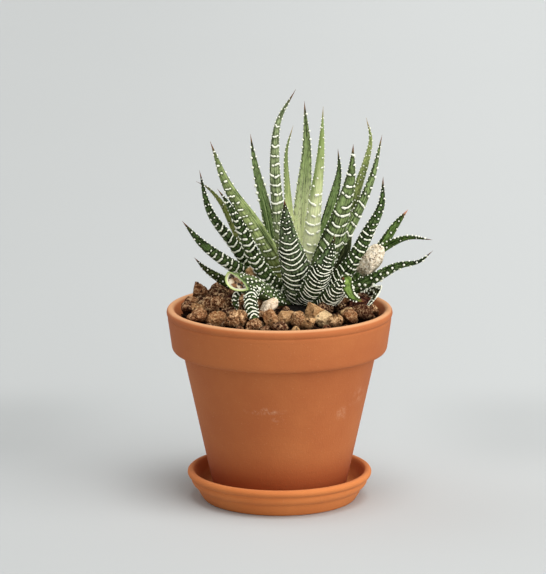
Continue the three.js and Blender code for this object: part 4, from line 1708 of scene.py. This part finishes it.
def crumb_tree(material: Material) -> NodeGroup:
    """Builds the tree that strews crumbs over the bed.

    Args:
        material: What they are made of.

    Returns:
        The tree.
    """
    sizes = {"Crumbs": 240000.0, "Largest": 1.3, "Smallest": 0.45, "Crumb_size": MM, "Seed": 5}
    group = NodeGroup("strewn_crumbs", **sizes)
    ground, seed = group.start.outputs[0], group.size("Seed")
    times = {"operation": "MULTIPLY"}
    amount = group.node("ShaderNodeMath", times, i0=group.read("density"), i1=group.size("Crumbs"))
    strew, evenly = "GeometryNodeDistributePointsOnFaces", {"distribute_method": "RANDOM"}
    strewn = group.node(strew, evenly, Mesh=ground, Density=amount.outputs[0], Seed=seed)
    crumb = group.node("GeometryNodeMeshIcoSphere", Radius=group.size("Crumb_size"), Subdivisions=1)
    lump = group.node("ShaderNodeTexNoise", {"noise_dimensions": "3D"}, Scale=900.0, Detail=1.0)
    less, half = {"operation": "SUBTRACT"}, (0.5, 0.5, 0.5)
    push = group.node("ShaderNodeVectorMath", less, i0=lump.outputs["Color"], i1=half).outputs[0]
    shove = group.node("ShaderNodeVectorMath", {"operation": "SCALE"}, i0=push, Scale=1.3 * MM)
    body, offset = crumb.outputs["Mesh"], shove.outputs[0]
    rough = group.node("GeometryNodeSetPosition", Geometry=body, Offset=offset)
    turns = {"data_type": "FLOAT_VECTOR"}
    spin = group.node("FunctionNodeRandomValue", turns, i1=(6.2, 6.2, 6.2), Seed=seed)
    ends = {"i2": group.size("Smallest"), "i3": group.size("Largest")}
    grow = group.node("FunctionNodeRandomValue", {"data_type": "FLOAT"}, Seed=seed, **ends)
    set_out = group.node(
        "GeometryNodeInstanceOnPoints",
        Points=strewn.outputs["Points"],
        Instance=rough.outputs[0],
        Rotation=spin.outputs[0],
        Scale=grow.outputs[1],
    )
    group.close(set_out, ground, Material=material)
    return group


def leaf_finishes() -> dict[str, LeafFinish]:
    """Lists the greens of the leaves.

    Returns:
        Each finish under its kind.
    """
    mid, light = {"slot": "leaf_mid_green", "edge": 0.4}, {"slot": "leaf_pale", "edge": 0.4}
    straw, young = {**light, "tip": (160, 134, 88)}, {"tip_reach": 0.9, "mottle": 0.6}
    bud = ((12, 26, 5), (104, 134, 62), (28, 38, 10))
    # The darker foot colours are painted shade round the crown; the pale ones are the bases' own tone.
    rows = (
        LeafFinish("dark", (12, 25, 5), (104, 133, 72), (34, 48, 16), 0.14),
        LeafFinish("creased", (12, 26, 6), (96, 120, 68), (62, 78, 34), 0.16, fold_shade=0.85),
        LeafFinish("upright", (14, 32, 8), (158, 184, 116), (70, 88, 34), 0.2, fold_shade=0.4),
        LeafFinish("withered", (12, 14, 5), (94, 94, 54), (40, 44, 20), 0.2, tip=(92, 66, 40)),
        LeafFinish("front", (10, 20, 5), (118, 144, 94), (20, 30, 9), 0.16),
        LeafFinish("broad", (18, 34, 12), (152, 174, 128), (36, 50, 20), 0.16),
        LeafFinish("shaded", (15, 32, 8), (104, 134, 68), (60, 76, 28), 0.2),
        LeafFinish("moss", (15, 34, 9), (140, 166, 102), (46, 70, 28), 0.55, **mid),
        LeafFinish("tall", (44, 66, 26), (204, 220, 164), (158, 166, 98), 0.36, mottle=0.5),
        LeafFinish("olive", (30, 42, 14), (104, 118, 62), (60, 64, 28), 0.2),
        LeafFinish("smooth", (40, 62, 20), (194, 210, 138), (192, 196, 108), 0.3,
                   fold_shade=0.5, mottle=0.5, upper=0.5, **mid),
        LeafFinish("streaked", (18, 38, 10), (176, 198, 130), (246, 250, 202), 0.72,
                   fold_shade=0.65, mottle=0.5, upper=0.4, **mid),
        LeafFinish("fresh", (44, 80, 20), (158, 190, 96), (70, 98, 32), 0.18, **mid),
        LeafFinish("pale", (128, 150, 80), (248, 252, 198), (248, 252, 206), 0.6,
                   mottle=0.14, upper=0.8, **straw),
        LeafFinish("lime", (84, 106, 46), (212, 222, 158), (238, 243, 196), 0.56,
                   mottle=0.25, upper=0.65, **straw),
        # The thin leaf's near-black foot is painted shade, filling a gap between leaves where only shade
        # lies.
        LeafFinish("thin", (84, 106, 42), (196, 208, 134), (10, 14, 4), 0.78, mottle=0.3, **straw),
        LeafFinish("dry", (90, 106, 42), (184, 190, 110), (38, 54, 18), 0.62,
                   tip_reach=0.88, mottle=0.4, **light),
        LeafFinish("young", *bud, 0.3, tip=(116, 78, 52), **young),
        LeafFinish("young_dry", *bud, 0.16, tip=(186, 130, 104), **young),
    )
    return {row.kind: row for row in rows}


def main_leaves() -> list[Leaf]:
    """Lists the leaves of the main rosette from the front to the back.

    Returns:
        The leaves.
    """
    return [
        Leaf("leaf_front_broad", "broad", 15.5, 1.9, (0.1, 1, 0.15),
             Marks(21, 0.66, 0.33, 0.42, 0.95, 0.5, start=0.1),
             ((10, 0, 86), (10, -7, 91), (8, -12, 101), (4, -16, 119), (2, -19, 138))),
        Leaf("leaf_front_right", "front", 14, 2.1, (-0.25, 1, 0.35),
             Marks(24, 0.66, 0.26, 0.34, 0.95, 0.8),
             ((12.4, -2, 90.6), (13.2, -8.6, 92), (15, -14.4, 96.6), (17.4, -17.5, 104), (21, -18, 112),
              (24, -17.5, 121.6))),
        Leaf("leaf_left_banded", "dark", 9.2, 2.4, (0.45, 0.8, 0.3),
             Marks(18, 0.85, 0.5, 0.48, 0.94, 1.2, start=0.16),
             ((8, 1, 86), (1, -3, 93), (-10, -10, 108), (-17, -16, 125), (-23, -19, 137),
              (-27, -20, 143))),
        Leaf("leaf_right_banded", "dark", 9.4, 2.1, (-0.42, 0.88, 0.2),
             Marks(21, 0.66, 0.44, 0.46, 0.94, 1.6),
             ((18, -1, 88), (27, -4, 100), (33, -6.6, 109), (38.4, -9.4, 120.8), (44.2, -12.6, 134),
              (45, -13, 147))),
        Leaf("leaf_right_pearled", "dark", 10.4, 1.7, (-0.2, 0.8, 0.7),
             Marks(20, 0.16, 0.5, 0.7, 0.9, 0.8, most=3),
             ((15, 1, 87), (25, 0, 91), (40, -6, 99.4), (52, -9.5, 106.6), (61, -11, 109),
              (67, -12, 114))),
        Leaf("leaf_low_front", "front", 10.5, 5, (-0.4, 1, 0.2), Marks(16, 1, 0.3, 0.38, 0.95, 0.8),
             ((13, -1, 85), (17, -9, 88.5), (21, -14, 92.5), (25, -18, 97.8), (28, -20, 104))),
        Leaf("leaf_arched_front", "fresh", 5.8, 5, (-0.3, -0.9, 0.4),
             Marks(8, 0.1, 0.3, 0.34, 0.9, teeth=1.2, tooth=0.4, most=1),
             ((15, 0, 86), (21, -5, 88.5), (25.5, -10.5, 93.5), (28, -15, 99.4), (29.2, -17.8, 101.8),
              (29.7, -19.6, 99), (31.7, -21, 95.4), (37, -22, 93.2))),
        Leaf("leaf_left_low", "dark", 8, 3, (0.35, 0.9, 0.3), Marks(20, 0.66, 0.46, 0.48, 0.93, 0.8),
             ((7, 2, 88), (-5, -1, 95.5), (-21, -6, 106), (-33.5, -9, 116), (-42.5, -11, 127))),
        Leaf("leaf_left_curved", "dark", 8.2, 2.4, (0.6, 0.85, 0.3),
             Marks(23, 0.66, 0.44, 0.46, 0.93, 0.8),
             ((7, 4, 88), (-8, 2, 98), (-21, -3, 116), (-30.5, -6, 130), (-35, -8, 149))),
        Leaf("leaf_left_smooth", "smooth", 8.8, 2.4, (-0.45, 0.85, -0.2),
             Marks(20, 0.9, 0.46, 0.46, 0.97, 0.4, teeth=4, tooth=0.42, one_side=True),
             ((8, 4, 90), (3, 4, 99), (-11, 5, 122), (-23, 7, 140), (-30.5, 8, 159))),
        Leaf("leaf_tall", "tall", 5.8, 2.8, (0.1, 1, 0), Marks(20, 0.72, 0.5, 0.6, 0.86, 0.5, most=2),
             ((9, 2, 93), (3, 0, 106), (-0.5, -1, 128), (-2.2, -3, 154), (-0.5, -4, 170), (7, -4, 184))),
        Leaf("leaf_right_upright", "upright", 12, 1.8, (-0.3, 1, 0.1),
             Marks(14, 0.88, 0.6, 0.5, 0.84, 0.5),
             ((15, 3, 92), (20, 0, 107), (26.5, -5, 127), (31, -9, 146), (32, -11, 161))),
        Leaf("leaf_centre_pale", "pale", 8.6, 1.5, (-0.2, 1, 0),
             Marks(17, 0.55, 0.6, 0.48, 0.92, 0.6, most=2),
             ((13, 4, 95), (13.5, 3, 106), (15.5, 1, 131), (18, 0, 154), (19, -1, 176))),
        Leaf("leaf_right_dark", "upright", 9.2, 2.2, (-0.7, 0.6, 0.2),
             Marks(15, 0.62, 0.5, 0.56, 0.88, 1.6, most=2),
             ((15, 5, 92), (22, 8, 105), (33, 12, 123), (41, 16, 141), (45.5, 20, 160))),
        Leaf("leaf_centre_back", "streaked", 8.6, 2, (0, -1, 0.1),
             Marks(26, 0.5, 0.4, 0.42, 0.9, teeth=3.2, tooth=0.42),
             ((10, 5, 95), (9, 9, 107), (10, 13, 128), (12, 17, 154), (11, 20, 175)),
             fold=0.12),
        Leaf("leaf_right_smooth", "moss", 8, 2, (-0.4, -0.85, 0),
             Marks(18, 0.5, 0.36, 0.4, 0.9, teeth=2.4, tooth=0.32),
             ((14, 6, 94), (17, 10, 104), (23, 18, 127), (26.5, 22, 143), (26, 24, 153))),
        Leaf("leaf_right_thin", "thin", 7, 2.2, (-0.5, 0.8, 0),
             Marks(20, 0, 0.34, 0.38, 0.9, 0.8, start=0.4, most=2),
             ((20, 6, 93), (26.5, 9.5, 105), (29, 11, 110.5), (29.8, 13, 116), (32.6, 17.5, 129),
              (39, 22, 149), (40.5, 23, 158), (38.5, 24, 167))),
        Leaf("leaf_centre_thin", "lime", 6.6, 2, (0.6, -0.5, 0), Marks(14, 0.1, 0.3, 0.34, 0.9, most=1),
             ((9, 5, 94), (6, 8, 108), (3, 12, 141), (3, 14, 154), (6, 15, 165))),
        Leaf("leaf_back_left_dark", "creased", 7.2, 2.4, (0.5, -0.85, 0),
             Marks(20, 0.5, 0.36, 0.42, 0.92, teeth=4.2, tooth=0.6),
             ((8, 6, 92), (-1, 11, 104), (-6, 18, 126), (-11, 25, 146), (-13, 28, 159)),
             fold=0.1),
        Leaf("leaf_left_dry_tip", "dry", 7.6, 1.8, (0.4, 0.8, 0.4),
             Marks(16, 0.0, 0.3, 0.36, 0.9, most=2),
             ((7, 6, 88), (-9.5, 12, 102), (-19, 14, 117), (-26, 14, 130.5), (-32, 13, 137.5),
              (-37, 12, 140.5))),
        Leaf("leaf_back_left_low", "olive", 8.4, 2.6, (0.2, 0.9, 0.5),
             Marks(17, 0.1, 0.36, 0.44, 0.9, most=2),
             ((7, 5, 87), (-3, 8, 88.5), (-13, 10, 90.5), (-25, 12, 95.5), (-33, 14, 100.5),
              (-38, 15, 105.5))),
        Leaf("leaf_back", "shaded", 8.4, 2.2, (0, -0.8, 0.6), Marks(19, 0.7, 0.4, 0.44),
             ((11, 7, 90), (9, 18, 100), (6, 29, 113), (4, 36, 128))),
        Leaf("leaf_back_left", "dark", 7.6, 2.2, (0.5, -0.6, 0.6), Marks(16, 0.66, 0.38, 0.44),
             ((8, 7, 89), (-3, 18, 97), (-12, 27, 107), (-17, 33, 119))),
        Leaf("leaf_back_right", "shaded", 7.6, 2.2, (-0.5, -0.6, 0.6), Marks(16, 0.66, 0.38, 0.44),
             ((14, 7, 89), (21, 18, 96), (27, 28, 103), (29, 35, 113))),
        Leaf("leaf_back_low", "dark", 6.6, 2.2, (0, -0.5, 0.9), Marks(14, 0.66, 0.36, 0.42),
             ((12, 8, 87), (15, 20, 92), (18, 32, 96), (19, 41, 103))),
        Leaf("leaf_back_spread", "dark", 6.4, 2.2, (0.3, -0.5, 0.9), Marks(14, 0.66, 0.36, 0.42),
             ((9, 8, 87), (1, 20, 92), (-7, 31, 97), (-12, 38, 105))),
    ]


@dataclass
class Foot:
    """The short stock of an offset, which its leaves grow from."""

    name: str
    centre: tuple[float, float]
    radius: float
    bottom: float = 66.5
    top: float = 88.5

    STEPS = 40
    PROFILE = ((0.0, 0.4), (0.04, 0.75), (0.14, 1.0), (0.8, 1.0), (0.93, 0.72), (0.99, 0.3))

    def build(self, material: Material) -> Thing:
        """Turns the stock, a little off round.

        Args:
            material: What it is made of.

        Returns:
            The stock.
        """
        turn = 1 + 0.04 * np.sin(around(self.STEPS) * 3)
        rings = []
        for share, wide in self.PROFILE:
            height = mix(self.bottom, self.top, share)
            rings.append(circle(self.radius * wide * turn, height, self.STEPS, self.centre))
        places, faces = capped(rings, (*self.centre, self.bottom), (*self.centre, self.top))
        return mesh_object(self.name, places, faces, material)


@dataclass
class Offset:
    """A young plant beside the main one: a stock and a few leaves, kept as one piece."""

    node: str
    foot: Foot
    leaves: list[Leaf]

    def build(self, skins: dict[str, Material], tree: NodeGroup, stock: Material, dried: Material) -> None:
        """Builds the offset.

        Args:
            skins: The leaf materials under their kinds.
            tree: The tree that sets the beads.
            stock: The material of the stock.
            dried: The material of a cut end.
        """
        parts = []
        for leaf in self.leaves:
            parts.append(leaf.build(skins[leaf.finish], tree))
            if isinstance(leaf, CutLeaf):
                leaf.open_end(parts[-1], dried)
        parts.append(self.foot.build(stock))
        settle(join(f"{self.node}_plant", parts), "leaf_dark_green", self.node)


def offsets() -> list[Offset]:
    """Lists the two young plants.

    Returns:
        The left one, with its cut leaf, and the right one.
    """
    left = [
        CutLeaf("cut_leaf", "creased", 9.2, 9, (0.1, -0.6, 0.8), Marks(20, 0, 0.36, 0.46, 1.0, most=4),
                ((5, -2, 89), (-3.4, -9.6, 93), (-10, -15.8, 98), (-16.6, -19.8, 100.9),
                 (-23, -23.4, 103), (-31, -27, 105)),
                plump=1.9, marked=Face.INSIDE, cut_at=(-18.2, -22, 101.1), cut_faces=(-0.3, -0.92, 0.02),
                depth=1.2, half_round=22),
        Leaf("bent_leaf", "shaded", 6.2, 7, (0.2, 0.7, -0.5), Marks(13, 0.9, 0.38, 0.4, 0.92, 0.8),
             ((-7, -14.5, 97.5), (-11, -20, 98.6), (-12.6, -25.2, 96.2), (-12.4, -29, 92.4),
              (-11.2, -32.5, 88.8), (-9.8, -34, 86.6))),
        Leaf("small_leaf", "shaded", 5, 3, (0.6, 0.5, -0.5), Marks(9, 0.6, 0.34, 0.4),
             ((-11, -15, 98), (-17, -17, 97.5), (-19.5, -21, 94), (-18, -24, 89.5))),
    ]
    right = [
        Leaf("dry_tipped_leaf", "young_dry", 5.6, 5, (-0.4, 0.9, 0.3), Marks(13, 0.1, 0.4, 0.5, most=1),
             ((33, 13.5, 86), (36.5, 17, 92), (40.5, 19, 101), (46.5, 22, 110), (52, 25, 118),
              (57.5, 27, 125)),
             plump=1.3),
        Leaf("reaching_leaf", "young", 7.6, 2.2, (-0.2, 0.7, 0.7),
             Marks(13, 0.1, 0.4, 0.42, teeth=1.8, tooth=0.4, most=1),
             ((31, 12.5, 86), (32, 13.5, 93), (36.5, 15.5, 101.8), (47, 18, 109.5), (57, 17, 114),
              (68, 15, 113.5)),
             plump=1.3),
        Leaf("rim_leaf", "withered", 5.6, 2.6, (0.6, 0.3, -0.6),
             Marks(18, 0.1, 0.36, 0.5, most=3, teeth=0.8, tooth=0.4),
             ((34, 12, 86), (39.5, 9, 91), (42.5, 3, 93), (43, -4, 94.5), (41, -10, 92), (37, -14, 88))),
    ]
    return [
        Offset("offset_left", Foot("offset_left_stock", (5, -8), 3), left),
        Offset("offset_right", Foot("offset_right_stock", (32.5, 13), 3.6), right),
    ]


@dataclass
class Plant:
    """The main rosette, its stem and the two offsets."""

    leaves: list[Leaf] = field(default_factory=main_leaves)
    young: list[Offset] = field(default_factory=offsets)

    def build(self) -> None:
        """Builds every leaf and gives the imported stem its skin."""
        finishes = leaf_finishes()
        skins = {kind: finish.material() for kind, finish in finishes.items()}
        tree = pearl_tree(PearlFinish().material())
        for leaf in self.leaves:
            settle(leaf.build(skins[leaf.finish], tree), finishes[leaf.finish].slot, leaf.name)
        stock, dried = StemFinish().material(), CutFinish().material()
        for offset in self.young:
            offset.build(skins, tree, stock, dried)
        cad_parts["stem"].material_slots[0].material = stock


@dataclass
class Studio:
    """The camera, the soft light and the paper floor.

    A sun is a lamp so far off that it lights the whole floor evenly. Each has its name, the way
    from the plant to it, how wide it looks in degrees, its strength and its colour.
    """

    camera_at: Point = (-2.9, -1476.0, 409.5)
    camera_pitch: float = 77.982
    lens: float = 214.4
    sky: Colour = (1.0, 0.985, 0.95)
    sky_strength: float = 0.4
    floor_radius: float = 4000.0
    suns: tuple[tuple[str, Point, float, float, Colour], ...] = (
        ("key", (1.0, -0.8, 0.62), 72, 2.75, (1.0, 0.98, 0.95)),
        ("top", (0.1, -0.2, 1.0), 36, 1.86, (1.0, 0.99, 0.97)),
        ("rim", (-1.0, 0.4, 0.7), 60, 0.55, (1.0, 0.99, 0.97)),
    )

    def build(self) -> None:
        """Sets everything up round the piece."""
        bpy.context.scene.view_settings.view_transform = "Standard"
        self.place_camera()
        self.fill_sky()
        for name, towards, spread, power, colour in self.suns:
            lamp = self.put(bpy.data.lights.new(name, "SUN"), [c * 2 for c in towards])
            lamp.rotation_euler = (-Vector(towards)).to_track_quat("-Z", "Y").to_euler()
            lamp.data.angle, lamp.data.energy, lamp.data.color = math.radians(spread), power, colour
        points = circle(self.floor_radius, 0, 96)
        mesh_object("paper", points, [tuple(range(96))], Paper().material())

    @staticmethod
    def put(data: bpy.types.ID, place: Sequence[float]) -> Thing:
        """Adds a camera or a lamp.

        Args:
            data: What it is.
            place: Where it stands, in metres.

        Returns:
            The object.
        """
        thing = bpy.data.objects.new(data.name, data)
        thing.location = place
        bpy.context.scene.collection.objects.link(thing)
        return thing

    def place_camera(self) -> None:
        """Places the camera where the photograph was taken from."""
        data = bpy.data.cameras.new("camera")
        data.lens, data.sensor_width, data.clip_end = self.lens, 36, 30
        camera = self.put(data, [c * MM for c in self.camera_at])
        camera.rotation_euler = (math.radians(self.camera_pitch), 0, 0)
        bpy.context.scene.camera = camera

    def fill_sky(self) -> None:
        """Fills the room with even light."""
        world = bpy.data.worlds.new("room")
        world.use_nodes = True
        background = world.node_tree.nodes["Background"]
        background.inputs["Color"].default_value = (*self.sky, 1.0)
        background.inputs["Strength"].default_value = self.sky_strength
        bpy.context.scene.world = world


def main() -> None:
    """Builds the pot, what fills it, the plant and the studio."""
    logging.basicConfig(level=logging.INFO, format="%(name)s %(message)s")
    Clay().build()
    Soil().build()
    Gravel().build()
    Plant().build()
    Studio().build()


if __name__ == "__main__":
    main()
